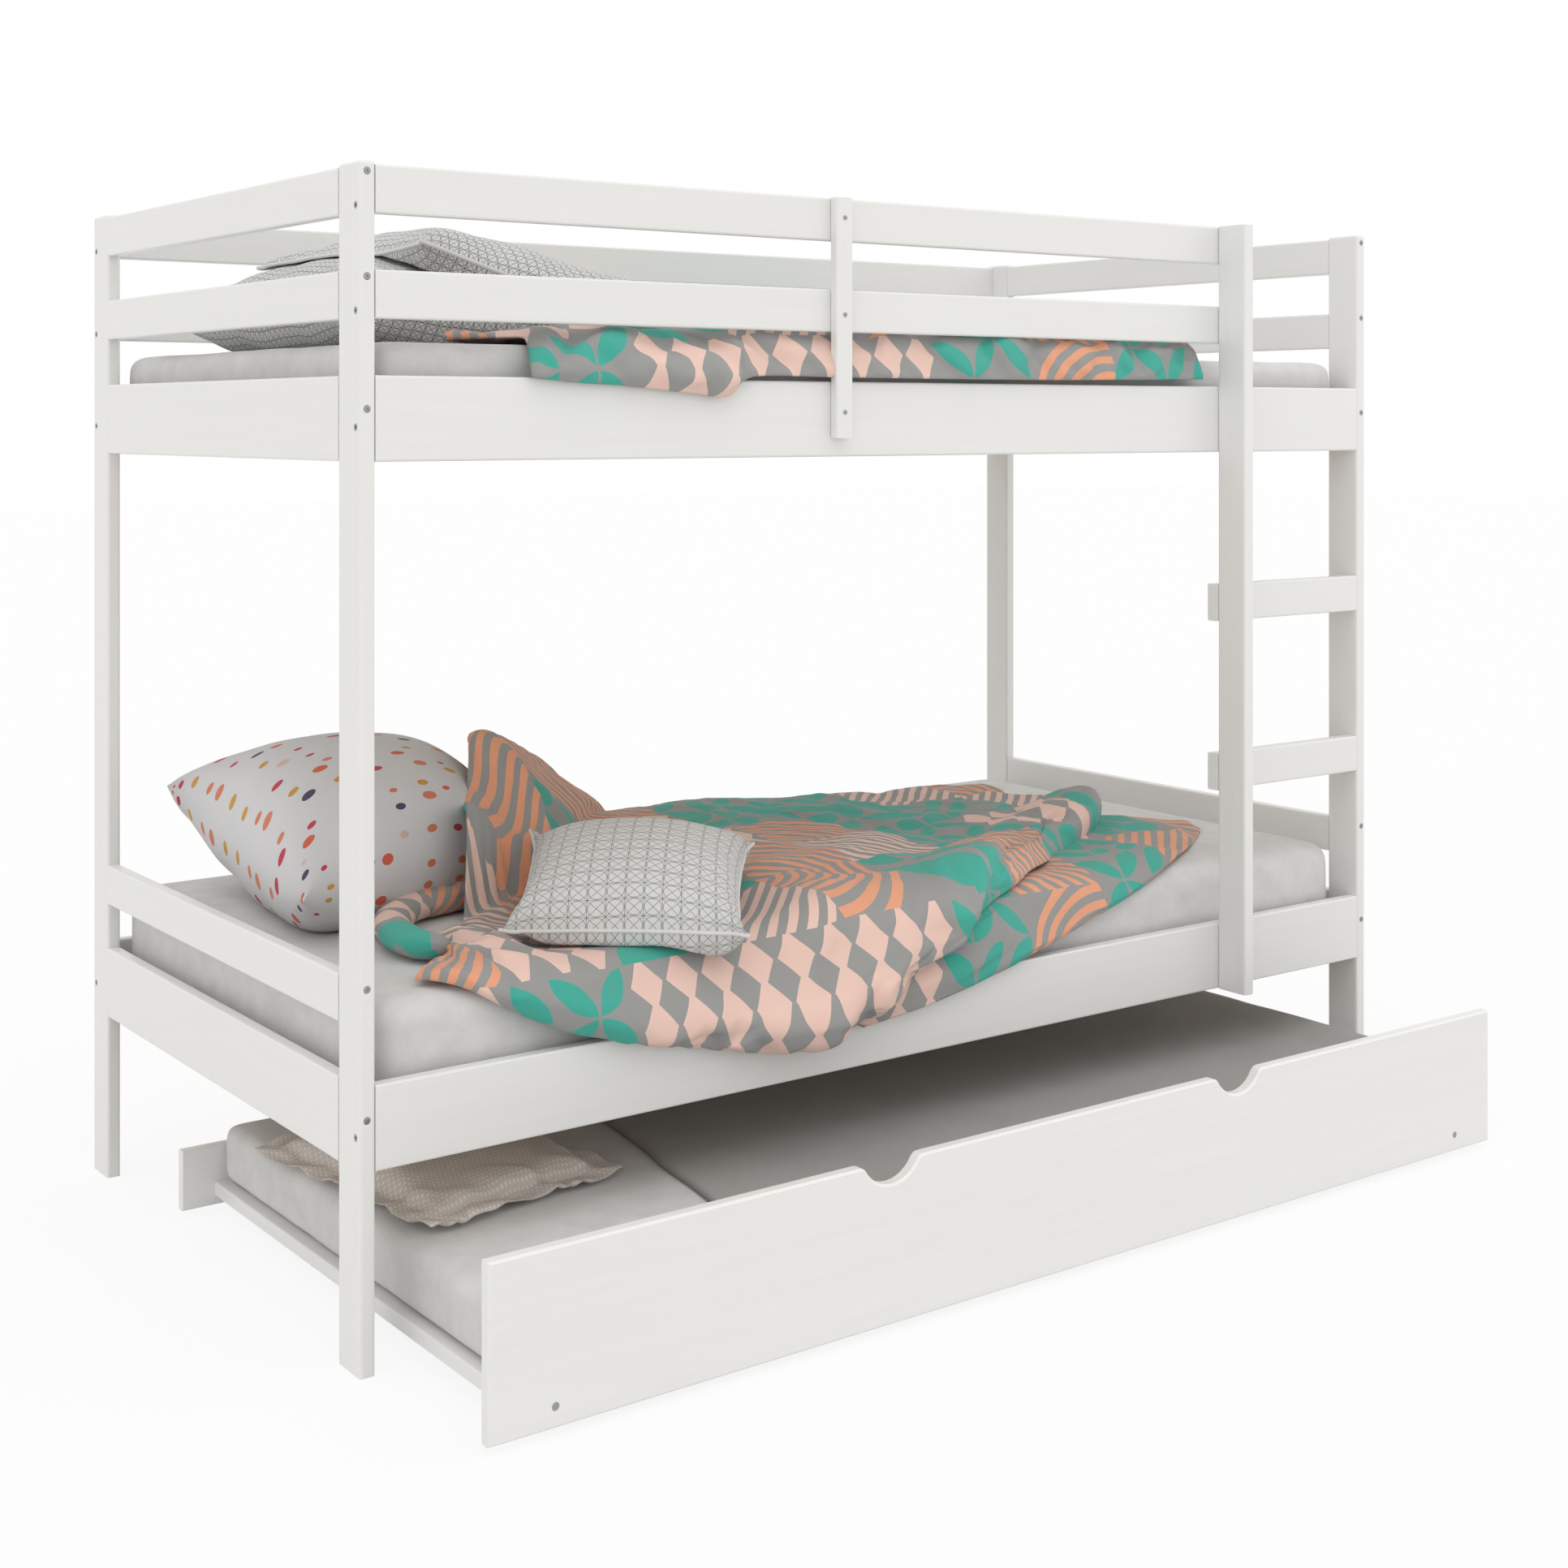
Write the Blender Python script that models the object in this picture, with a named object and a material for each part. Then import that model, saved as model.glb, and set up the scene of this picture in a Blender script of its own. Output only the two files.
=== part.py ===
"""Triple bunk bed: two bunks over a trundle bed that rolls out from under them.

Metres, +Z up, +X along the bed and +Y from its front to its back. The origin is
on the floor, under the middle of everything that stands there at rest.
"""

import math

import bmesh
import bpy
from mathutils import Euler, Matrix, Vector
from mathutils.bvhtree import BVHTree

# Gaps
FACE_GAP = 0.0003
SOFT_GAP = 0.0004
DRAPE_GAP = 0.008
DRAPE_RUN_IN = 0.100
CUT_OVERRUN = 0.010

# Bed frame
BED_LENGTH = 1.980
BED_WIDTH = 1.008
POST_HEIGHT = 1.569
POST_WIDTH = 0.022
POST_DEPTH = 0.066
POST_ROUNDING = 0.004
BOARD_THICKNESS = 0.020
BOARD_HEIGHT = 0.112
RAIL_HEIGHT = 0.0635
EDGE_ROUNDING = 0.003
LOWER_BOARD_BOTTOM = 0.263
LOWER_RAIL_GAP = 0.071
POST_OVER_RAIL = 0.004
GUARD_RAIL_PITCH = 0.136
MID_RAIL_OVER_BOARD = 0.0735

# Ladder and guard
STILE_WIDTH = 0.022
STILE_DEPTH = 0.061
LADDER_CLEAR_WIDTH = 0.3414
RUNG_THICKNESS = 0.023
GUARD_UPRIGHT_PLACE_SHARE = 0.384
GUARD_UPRIGHT_WIDTH = 0.030
GUARD_UPRIGHT_DEPTH = 0.017
GUARD_UPRIGHT_LIFT = 0.0275

# Bolts
BOLT_HEAD_RADIUS = 0.0052
BOLT_RECESS_DEPTH = 0.003
BOLT_SIDES = 10
FRONT_BOLT_INSET = 0.010
SIDE_BOLT_INSET = 0.013
RAIL_BOLT_HEIGHT_SHARE = 0.85
RAIL_SIDE_BOLT_HEIGHT_SHARE = 0.16
BOARD_BOLT_HEIGHT_SHARE = 0.61
BOARD_SIDE_BOLT_HEIGHT_SHARE = 0.40
BOLT_THICKNESS = 0.0024

# Slatted bases of the two bunks
LEDGER_WIDTH = 0.022
LEDGER_HEIGHT = 0.022
SLAT_THICKNESS = 0.018
SLAT_WIDTH = 0.070
SLAT_COUNT = 10
SLAT_END_CLEARANCE = 0.002
FIRST_SLAT_INSET = 0.040
TAPE_WIDTH = 0.030
TAPE_THICKNESS = 0.0012
TAPE_SINK_SHARE = 0.5
TAPE_PLACE_SHARES = (0.27, 0.73)

# Mattresses
MATTRESS_END_CLEARANCE = 0.020
MATTRESS_SIDE_CLEARANCE = 0.014
LOWER_MATTRESS_THICKNESS = 0.169
UPPER_MATTRESS_THICKNESS = 0.120
MATTRESS_ROUNDING = 0.038

# Trundle
TRUNDLE_OPENING = 0.287
TRUNDLE_END_CLEARANCE = 0.008
TRUNDLE_BACK_CLEARANCE = 0.014
PANEL_THICKNESS = 0.020
FRONT_PANEL_BOTTOM = 0.010
FRONT_PANEL_HEIGHT = 0.221
BACK_PANEL_BOTTOM = 0.012
BACK_PANEL_HEIGHT = 0.093
BACK_PANEL_THICKNESS = 0.018
NOTCH_FROM_MIDDLE = 0.342
NOTCH_RADIUS = 0.052
NOTCH_DEPTH = 0.031
NOTCH_SHOULDER_RADIUS = 0.014
NOTCH_STEPS = 12
SHOULDER_STEPS = 4
END_RAIL_INSET = 0.051
END_RAIL_WIDTH = 0.082
END_RAIL_THICKNESS = 0.022
END_RAIL_BOTTOM = 0.026
TRUNDLE_LEDGER_WIDTH = 0.030
TRUNDLE_LEDGER_HEIGHT = 0.024
TRUNDLE_SLAT_THICKNESS = 0.012
TRUNDLE_SLAT_WIDTH = 0.060
TRUNDLE_SLAT_COUNT = 10
TRUNDLE_MATTRESS_INSET = 0.060
TRUNDLE_MATTRESS_THICKNESS = 0.093
TRUNDLE_MATTRESS_CLEARANCE = 0.006
TRUNDLE_MATTRESS_ROUNDING = 0.022
PANEL_BOLT_RADIUS = 0.0055

# Castors
WHEEL_RADIUS = 0.020
WHEEL_WIDTH = 0.018
WHEEL_ROUNDING = 0.0025
WHEEL_SEGMENTS = 20
AXLE_RADIUS = 0.003
AXLE_CLEARANCE = 0.00005
AXLE_SIDES = 20
WHEEL_SIDE_PLAY = 0.001
WHEEL_TOP_PLAY = 0.0022
FORK_THICKNESS = 0.004
CHEEK_BOTTOM = 0.008
SLATS_BEYOND_CASTOR_COUNT = 2

# Lower bunk's pillow and cushion: sizes and centres are shares of the mattress's length and width
LOWER_PILLOW_SIZE_SHARES = (0.287, 0.660)
LOWER_PILLOW_RISE = 0.145
LOWER_PILLOW_CENTRE_SHARES = (0.162, 0.610)
LOWER_PILLOW_TURN = (math.radians(7.0), math.radians(7.0), math.radians(-2.0))
LOWER_PILLOW_LIFT = 0.088
LOWER_PILLOW_CORNER_PULL_SHARES = (-0.055, 0.210)
CUSHION_SIZE_SHARES = (0.1842, 0.3723)
CUSHION_RISE = 0.070
CUSHION_CENTRE_SHARES = (0.259, 0.162)
CUSHION_TURN = (math.radians(10.8), math.radians(0.3), math.radians(-36.8))
CUSHION_LIFT = 0.062

# Upper bunk's two pillows
UPPER_PILLOW_SIZE_SHARES = (0.316, 0.638)
UPPER_PILLOW_RISE = 0.062
UPPER_PILLOW_CENTRE_SHARES = (0.163, 0.464)
UPPER_PILLOW_LIFT = 0.042
TOP_PILLOW_SIZE_SHARES = (0.284, 0.574)
TOP_PILLOW_CENTRE_SHARES = (0.205, 0.430)
TOP_PILLOW_TURN = (math.radians(-1.0), math.radians(11.0), math.radians(-3.0))
TOP_PILLOW_LIFT = 0.090

# Trundle's pillow
TRUNDLE_PILLOW_SIZE_SHARES = (0.1984, 0.5015)
TRUNDLE_PILLOW_RISE = 0.042
TRUNDLE_PILLOW_CENTRE_SHARES = (0.098, 0.600)
TRUNDLE_PILLOW_TURN = (0.0, 0.0, math.radians(5.0))
TRUNDLE_PILLOW_LIFT = 0.020

# Pillow form
PILLOW_STEPS = 12
SIDE_PULL_SHARE = 0.07
CROWN_POWER = 0.48
THINNEST_FABRIC = 0.003

# Duvets: outlines as shares of the mattress, along it and across it from its front
# face, where less than nothing hangs down in front
LOWER_DUVET_THICKNESS = 0.030
UPPER_DUVET_THICKNESS = 0.022
DUVET_EDGE_SHARE = 0.10
BOARD_TOP_CLEARANCE = 0.010
LOWER_DUVET_STEPS = (28, 20)
ROW_CROWDING_POWER = 1.5
LOWER_LEFT_SHARES = ((0.40, 0.975), (0.305, 0.868), (0.258, 0.655), (0.200, 0.443),
                     (0.163, 0.325), (0.084, 0.250), (0.060, 0.177), (0.050, 0.092), (0.040, 0.049))
LOWER_RIGHT_SHARES = ((0.900, 0.772), (0.884, 0.623), (0.873, 0.496), (0.868, 0.360), (0.937, 0.230))
LOWER_FAR_SHARES = ((0.40, 0.975), (0.584, 0.921), (0.668, 0.846), (0.805, 0.772), (0.900, 0.772))
LOWER_NEAR_SHARES = ((0.040, 0.049), (0.064, 0.011), (0.142, -0.085), (0.242, -0.135), (0.353, -0.175),
                     (0.432, -0.172), (0.532, -0.115), (0.629, -0.069), (0.726, 0.005), (0.779, 0.015),
                     (0.893, 0.167), (0.937, 0.230))
FOLD_START_SHARES = (0.868, 0.360)
FOLD_END_SHARES = (0.510, -0.090)
FOLD_RISE = 0.062
FOLD_FALL_SHARE = 0.55
FOLD_FRONT = 0.045
FOLD_BACK = 0.130
FLAP_THICKNESS_SHARE = 0.55
PRESSED_SHARE = 0.75
PRESSED_REACH = 0.30
UPPER_DUVET_STEPS = (26, 10)
UPPER_LEFT_SHARES = ((0.345, 0.950), (0.340, 0.600), (0.330, 0.220), (0.250, 0.125), (0.150, 0.105),
                     (0.122, 0.060), (0.110, 0.010))
UPPER_RIGHT_SHARES = ((0.830, 0.950), (0.835, 0.500), (0.815, 0.100), (0.800, -0.020))
UPPER_FAR_SHARES = ((0.345, 0.950), (0.600, 0.955), (0.830, 0.950))
UPPER_NEAR_SHARES = ((0.110, 0.010), (0.104, -0.060), (0.132, -0.078), (0.184, -0.081), (0.242, -0.094),
                     (0.278, -0.096), (0.300, -0.034), (0.400, -0.034), (0.600, -0.034), (0.800, -0.020))
WAVE_SHARE = 0.30
WAVES_ALONG = 5.0
WAVES_ACROSS = 2.3
DUVET_REACH = 0.040
PILLOW_REACH = 0.025

# Trundle's blanket
BLANKET_THICKNESS = 0.008
BLANKET_LEFT_SHARES = (0.210, 0.298)
BLANKET_END_DROP = 0.040
BLANKET_SIDE_CLEARANCE = 0.006
BLANKET_STEPS = (14, 6)
COLUMN_CROWDING_POWER = 2.0

# Places that follow from the sizes above
FRONT = -(BED_WIDTH - TRUNDLE_OPENING) / 2
BACK = FRONT + BED_WIDTH
LEFT = -BED_LENGTH / 2
RIGHT = BED_LENGTH / 2
INNER_LEFT = LEFT + POST_WIDTH
INNER_RIGHT = RIGHT - POST_WIDTH
TOP_RAIL_TOP = POST_HEIGHT - POST_OVER_RAIL
TOP_RAIL_BOTTOM = TOP_RAIL_TOP - RAIL_HEIGHT
MID_RAIL_BOTTOM = TOP_RAIL_BOTTOM - GUARD_RAIL_PITCH
UPPER_BOARD_BOTTOM = MID_RAIL_BOTTOM - MID_RAIL_OVER_BOARD - BOARD_HEIGHT
LOWER_BOARD_TOP = LOWER_BOARD_BOTTOM + BOARD_HEIGHT
LOWER_RAIL_BOTTOM = LOWER_BOARD_TOP + LOWER_RAIL_GAP
RUNG_GAP = (UPPER_BOARD_BOTTOM - LOWER_BOARD_TOP - 2 * RAIL_HEIGHT) / 3
STILE_LEFT = INNER_RIGHT - LADDER_CLEAR_WIDTH - STILE_WIDTH
LOWER_SLAT_TOP = LOWER_BOARD_BOTTOM + LEDGER_HEIGHT + SLAT_THICKNESS
UPPER_SLAT_TOP = UPPER_BOARD_BOTTOM + LEDGER_HEIGHT + SLAT_THICKNESS
LOWER_MATTRESS_TOP = LOWER_SLAT_TOP + FACE_GAP + LOWER_MATTRESS_THICKNESS
UPPER_MATTRESS_TOP = UPPER_SLAT_TOP + FACE_GAP + UPPER_MATTRESS_THICKNESS
MATTRESS_LENGTH = BED_LENGTH - 2 * (BOARD_THICKNESS + MATTRESS_END_CLEARANCE)
MATTRESS_WIDTH = BED_WIDTH - 2 * (BOARD_THICKNESS + MATTRESS_SIDE_CLEARANCE)
MATTRESS_FRONT = (FRONT + BACK - MATTRESS_WIDTH) / 2
PANEL_LEFT = INNER_LEFT + TRUNDLE_END_CLEARANCE
PANEL_RIGHT = INNER_RIGHT - TRUNDLE_END_CLEARANCE
TRUNDLE_FRONT = FRONT - TRUNDLE_OPENING
TRUNDLE_BACK = BACK - TRUNDLE_BACK_CLEARANCE - TRUNDLE_OPENING
TRUNDLE_INNER_FRONT = TRUNDLE_FRONT + PANEL_THICKNESS
TRUNDLE_INNER_BACK = TRUNDLE_BACK - BACK_PANEL_THICKNESS
TRUNDLE_SLAT_TOP = END_RAIL_BOTTOM + END_RAIL_THICKNESS
TRUNDLE_MATTRESS_TOP = TRUNDLE_SLAT_TOP + FACE_GAP + TRUNDLE_MATTRESS_THICKNESS
TRUNDLE_MATTRESS_LENGTH = 2 * (PANEL_RIGHT - TRUNDLE_MATTRESS_INSET)
END_RAIL_OUTER = PANEL_RIGHT - END_RAIL_INSET
END_RAIL_INNER = END_RAIL_OUTER - END_RAIL_WIDTH


def clear_scene():
    for old in list(bpy.data.objects):
        bpy.data.objects.remove(old, do_unlink=True)


def make_material(name, colour, roughness, metallic=0.0):
    material = bpy.data.materials.new(name)
    material.use_nodes = True
    shader = material.node_tree.nodes["Principled BSDF"]
    shader.inputs["Base Color"].default_value = (*colour, 1.0)
    shader.inputs["Roughness"].default_value = roughness
    shader.inputs["Metallic"].default_value = metallic
    return material


def white_lacquer(name):
    return make_material(name + "_lacquer", (0.78, 0.78, 0.765), 0.42)


def bare_pine(name):
    return make_material(name + "_pine", (0.66, 0.50, 0.32), 0.6)


def dark_plastic(name):
    return make_material(name + "_plastic", (0.05, 0.05, 0.055), 0.45)


def zinc(name):
    return make_material(name + "_zinc", (0.45, 0.45, 0.46), 0.35, 1.0)


def fabric(name, colour):
    return make_material(name + "_fabric", colour, 0.9)


def put_object(name, shape, centre, material, parent=None):
    """A bmesh built round its own origin becomes an object at its place."""
    mesh = bpy.data.meshes.new(name)
    shape.to_mesh(mesh)
    shape.free()
    mesh.materials.append(material)
    obj = bpy.data.objects.new(name, mesh)
    bpy.context.scene.collection.objects.link(obj)
    obj.location = centre
    if parent:
        obj.parent = parent
        obj.location = Vector(centre) - parent.location
    return obj


def face_outwards(shape):
    if shape.calc_volume(signed=True) < 0:
        bmesh.ops.reverse_faces(shape, faces=shape.faces)


def put_empty(name, place):
    empty = bpy.data.objects.new(name, None)
    bpy.context.scene.collection.objects.link(empty)
    empty.location = place
    return empty


def box_shape(size):
    shape = bmesh.new()
    bmesh.ops.create_cube(shape, size=1.0)
    bmesh.ops.scale(shape, vec=size, verts=shape.verts)
    return shape


def along(edge, axis):
    """Whether an edge runs along an axis, given as 0, 1 or 2."""
    run = edge.verts[1].co - edge.verts[0].co
    return abs(run[axis]) > 0.99 * run.length


def round_edges(shape, edges, radius, steps):
    bmesh.ops.bevel(shape, geom=edges, offset=radius, segments=steps, profile=0.5,
                    affect="EDGES", clamp_overlap=True)


def middle_and_size(low, high):
    low, high = Vector(low), Vector(high)
    return (low + high) / 2, high - low


def put_board(name, low, high, axis, material, parent=None, radius=EDGE_ROUNDING):
    """A board between two corners, with its four long edges rounded."""
    centre, size = middle_and_size(low, high)
    shape = box_shape(size)
    if radius:
        round_edges(shape, [e for e in shape.edges if along(e, axis)], radius, 2)
    return put_object(name, shape, centre, material, parent)


def put_cylinder_cutter(name, centre, radius, length, axis, turn_share=0):
    """A drill that runs along X or Y, turned by a share of one of its sides, so that no two holes of a face
    have their corners in one line."""
    turn = Matrix.Rotation(math.tau / BOLT_SIDES * turn_share, 4, "Z")
    shape = bmesh.new()
    bmesh.ops.create_cone(shape, cap_ends=True, segments=BOLT_SIDES, radius1=radius,
                          radius2=radius, depth=length, matrix=turn)
    cutter = put_object(name, shape, centre, zinc(name))
    quarter = math.pi / 2
    cutter.rotation_euler = Euler((0, quarter, 0)) if axis == 0 else Euler((quarter, 0, 0))
    cutter.hide_render = True
    cutter.display_type = "WIRE"
    return cutter


def cut(obj, cutter):
    boolean = obj.modifiers.new(cutter.name, "BOOLEAN")
    boolean.operation = "DIFFERENCE"
    boolean.object = cutter


def rail_bottoms(upper_only):
    levels = [MID_RAIL_BOTTOM, TOP_RAIL_BOTTOM]
    return levels if upper_only else [LOWER_RAIL_BOTTOM] + levels


def bolt_heights(board_share, rail_share, upper_only):
    """Heights of one face's bolts: one in each board and rail that ends at the post."""
    boards = [bottom + board_share * BOARD_HEIGHT for bottom in (LOWER_BOARD_BOTTOM, UPPER_BOARD_BOTTOM)]
    rails = [bottom + rail_share * RAIL_HEIGHT for bottom in rail_bottoms(upper_only)]
    return boards + rails


def put_post(name, side, end):
    """A corner post. side is -1 at the left and 1 at the right, end -1 at the front and 1 at the back."""
    centre = Vector((side * (RIGHT - POST_WIDTH / 2), FRONT + POST_DEPTH / 2, POST_HEIGHT / 2))
    if end > 0:
        centre.y = BACK - POST_DEPTH / 2
    shape = box_shape((POST_WIDTH, POST_DEPTH, POST_HEIGHT))
    rounded = [e for e in shape.edges if along(e, 2) or min(v.co.z for v in e.verts) > 0]
    round_edges(shape, rounded, POST_ROUNDING, 2)
    post = put_object(name, shape, centre, white_lacquer(name))
    drill_length = BOLT_RECESS_DEPTH + CUT_OVERRUN
    outward = CUT_OVERRUN / 2 - BOLT_RECESS_DEPTH / 2
    face_y = BACK if end > 0 else FRONT
    heights = bolt_heights(BOARD_BOLT_HEIGHT_SHARE, RAIL_BOLT_HEIGHT_SHARE, False)
    for number, height in enumerate(heights):
        place = (side * (RIGHT - FRONT_BOLT_INSET), face_y + end * outward, height)
        cut(post, put_cylinder_cutter(f"{name}_drill_y_{number}", place, BOLT_HEAD_RADIUS, drill_length, 1,
                                      number / len(heights)))
    heights = bolt_heights(BOARD_SIDE_BOLT_HEIGHT_SHARE, RAIL_SIDE_BOLT_HEIGHT_SHARE, True)
    for number, height in enumerate(heights):
        place = (side * (RIGHT + outward), face_y - end * SIDE_BOLT_INSET, height)
        cut(post, put_cylinder_cutter(f"{name}_drill_x_{number}", place, BOLT_HEAD_RADIUS, drill_length, 0,
                                      number / len(heights)))


def make_posts():
    for side, side_name in ((-1, "left"), (1, "right")):
        for end, end_name in ((-1, "front"), (1, "back")):
            put_post(f"post_{end_name}_{side_name}", side, end)


def put_side_board(name, end, bottom, height, right=INNER_RIGHT - FACE_GAP):
    """A board or rail along the bed, between the posts, flush with their outer faces."""
    low_y = FRONT if end < 0 else BACK - BOARD_THICKNESS
    put_board(name, (INNER_LEFT + FACE_GAP, low_y, bottom), (right, low_y + BOARD_THICKNESS, bottom + height),
              0, white_lacquer(name))


def put_end_board(name, side, bottom, height):
    """A board or rail across one end, between the posts, flush with their outer faces."""
    low_x = LEFT if side < 0 else RIGHT - BOARD_THICKNESS
    inner = POST_DEPTH + FACE_GAP
    put_board(name, (low_x, FRONT + inner, bottom), (low_x + BOARD_THICKNESS, BACK - inner, bottom + height),
              1, white_lacquer(name))


def make_boards():
    for end, end_name in ((-1, "front"), (1, "back")):
        put_side_board(f"lower_{end_name}_board", end, LOWER_BOARD_BOTTOM, BOARD_HEIGHT)
        put_side_board(f"upper_{end_name}_board", end, UPPER_BOARD_BOTTOM, BOARD_HEIGHT)
        rail_right = STILE_LEFT + STILE_WIDTH if end < 0 else INNER_RIGHT - FACE_GAP
        put_side_board(f"{end_name}_mid_rail", end, MID_RAIL_BOTTOM, RAIL_HEIGHT, rail_right)
        put_side_board(f"{end_name}_top_rail", end, TOP_RAIL_BOTTOM, RAIL_HEIGHT, rail_right)
    for side, side_name in ((-1, "left"), (1, "right")):
        put_end_board(f"lower_{side_name}_end_board", side, LOWER_BOARD_BOTTOM, BOARD_HEIGHT)
        put_end_board(f"lower_{side_name}_end_rail", side, LOWER_RAIL_BOTTOM, RAIL_HEIGHT)
        put_end_board(f"upper_{side_name}_end_board", side, UPPER_BOARD_BOTTOM, BOARD_HEIGHT)
        put_end_board(f"{side_name}_mid_rail", side, MID_RAIL_BOTTOM, RAIL_HEIGHT)
        put_end_board(f"{side_name}_top_rail", side, TOP_RAIL_BOTTOM, RAIL_HEIGHT)


def make_ladder():
    put_board("ladder_stile", (STILE_LEFT, FRONT - FACE_GAP - STILE_DEPTH, LOWER_BOARD_BOTTOM),
              (STILE_LEFT + STILE_WIDTH, FRONT - FACE_GAP, TOP_RAIL_TOP), 2,
              white_lacquer("ladder_stile"), radius=POST_ROUNDING)
    for number, name in enumerate(("ladder_rung_lower", "ladder_rung_upper")):
        bottom = LOWER_BOARD_TOP + RUNG_GAP + number * (RAIL_HEIGHT + RUNG_GAP)
        put_board(name, (STILE_LEFT, FRONT, bottom),
                  (INNER_RIGHT - FACE_GAP, FRONT + RUNG_THICKNESS, bottom + RAIL_HEIGHT), 0, white_lacquer(name))


def make_guard_upright():
    left = LEFT + GUARD_UPRIGHT_PLACE_SHARE * BED_LENGTH
    put_board("guard_upright", (left, FRONT - FACE_GAP - GUARD_UPRIGHT_DEPTH, UPPER_BOARD_BOTTOM + GUARD_UPRIGHT_LIFT),
              (left + GUARD_UPRIGHT_WIDTH, FRONT - FACE_GAP, TOP_RAIL_TOP), 2, white_lacquer("guard_upright"))


def slat_lefts(left, right, width, count):
    """Left edges of slats spread evenly between two ends."""
    pitch = (right - left - width) / (count - 1)
    return [left + number * pitch for number in range(count)]


def put_slat_base(name, lefts, width, low, high, parent=None):
    """Slats across the bed, held at their spacing by two webbing tapes sunk into their tops."""
    length = high.y - low.y
    first = Vector((lefts[0], low.y, low.z))
    last = Vector((lefts[-1] + width, high.y, high.z))
    centre = (first + last) / 2
    thickness = high.z - low.z
    base = put_object(name, box_shape((width, length, thickness)),
                      (lefts[0] + width / 2, centre.y, centre.z), bare_pine(name), parent)
    for number, left in enumerate(lefts[1:]):
        add_to(base, f"{name}_slat_{number}", (width, length, thickness), (left + width / 2, centre.y, centre.z), parent)
    tape_drop = (1 - TAPE_SINK_SHARE) * TAPE_THICKNESS
    for share in TAPE_PLACE_SHARES:
        place = (centre.x, low.y + share * length, high.z - tape_drop)
        size = (last.x - first.x - width, TAPE_WIDTH, TAPE_THICKNESS)
        add_to(base, f"{name}_tape_{share:.2f}", size, place, parent)


def add_to(obj, name, size, centre, parent):
    """Joins a box to an object with a union."""
    helper = put_object(name, box_shape(size), centre, bare_pine(name), parent)
    helper.hide_render = True
    helper.display_type = "WIRE"
    union = obj.modifiers.new(name, "BOOLEAN")
    union.operation = "UNION"
    union.object = helper


def make_bunk_base(level, board_bottom):
    ledger_top = board_bottom + LEDGER_HEIGHT
    inner_front = FRONT + BOARD_THICKNESS
    inner_back = BACK - BOARD_THICKNESS
    ledger_left = INNER_LEFT + FACE_GAP
    put_board(f"{level}_front_ledger", (ledger_left, inner_front + FACE_GAP, board_bottom),
              (-ledger_left, inner_front + FACE_GAP + LEDGER_WIDTH, ledger_top), 0, bare_pine(level + "_front"), radius=0)
    put_board(f"{level}_back_ledger", (ledger_left, inner_back - FACE_GAP - LEDGER_WIDTH, board_bottom),
              (-ledger_left, inner_back - FACE_GAP, ledger_top), 0, bare_pine(level + "_back"), radius=0)
    slats_left = INNER_LEFT + FIRST_SLAT_INSET
    put_slat_base(f"{level}_slat_base", slat_lefts(slats_left, -slats_left, SLAT_WIDTH, SLAT_COUNT), SLAT_WIDTH,
                  Vector((0, inner_front + SLAT_END_CLEARANCE, ledger_top + FACE_GAP)),
                  Vector((0, inner_back - SLAT_END_CLEARANCE, ledger_top + SLAT_THICKNESS)))


def put_mattress(name, low, high, radius, colour, parent=None):
    centre, size = middle_and_size(low, high)
    shape = box_shape(size)
    round_edges(shape, list(shape.edges), radius, 3)
    put_object(name, shape, centre, fabric(name, colour), parent)


def make_mattresses():
    half = MATTRESS_LENGTH / 2
    for name, bottom, thickness in (("lower_mattress", LOWER_SLAT_TOP, LOWER_MATTRESS_THICKNESS),
                                    ("upper_mattress", UPPER_SLAT_TOP, UPPER_MATTRESS_THICKNESS)):
        low = bottom + FACE_GAP + (1 - TAPE_SINK_SHARE) * TAPE_THICKNESS
        put_mattress(name, (-half, MATTRESS_FRONT, low),
                     (half, MATTRESS_FRONT + MATTRESS_WIDTH, bottom + FACE_GAP + thickness),
                     MATTRESS_ROUNDING, (0.60, 0.60, 0.59))


def notch_outline(middle, top):
    """Points of one hand notch from left to right: a shoulder, the round hollow and a shoulder."""
    reach = NOTCH_RADIUS + NOTCH_SHOULDER_RADIUS
    drop = NOTCH_RADIUS - NOTCH_DEPTH + NOTCH_SHOULDER_RADIUS
    turn = math.acos(drop / reach)
    shoulder_out = math.sqrt(reach ** 2 - drop ** 2)
    points = []
    for step in range(SHOULDER_STEPS):
        angle = turn * step / SHOULDER_STEPS
        points.append((middle - shoulder_out + NOTCH_SHOULDER_RADIUS * math.sin(angle),
                       top - NOTCH_SHOULDER_RADIUS + NOTCH_SHOULDER_RADIUS * math.cos(angle)))
    for step in range(NOTCH_STEPS + 1):
        angle = -turn + 2 * turn * step / NOTCH_STEPS
        points.append((middle + NOTCH_RADIUS * math.sin(angle),
                       top + NOTCH_RADIUS - NOTCH_DEPTH - NOTCH_RADIUS * math.cos(angle)))
    mirrored = [(2 * middle - x, z) for x, z in points[:SHOULDER_STEPS]]
    return points + mirrored[::-1]


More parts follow.
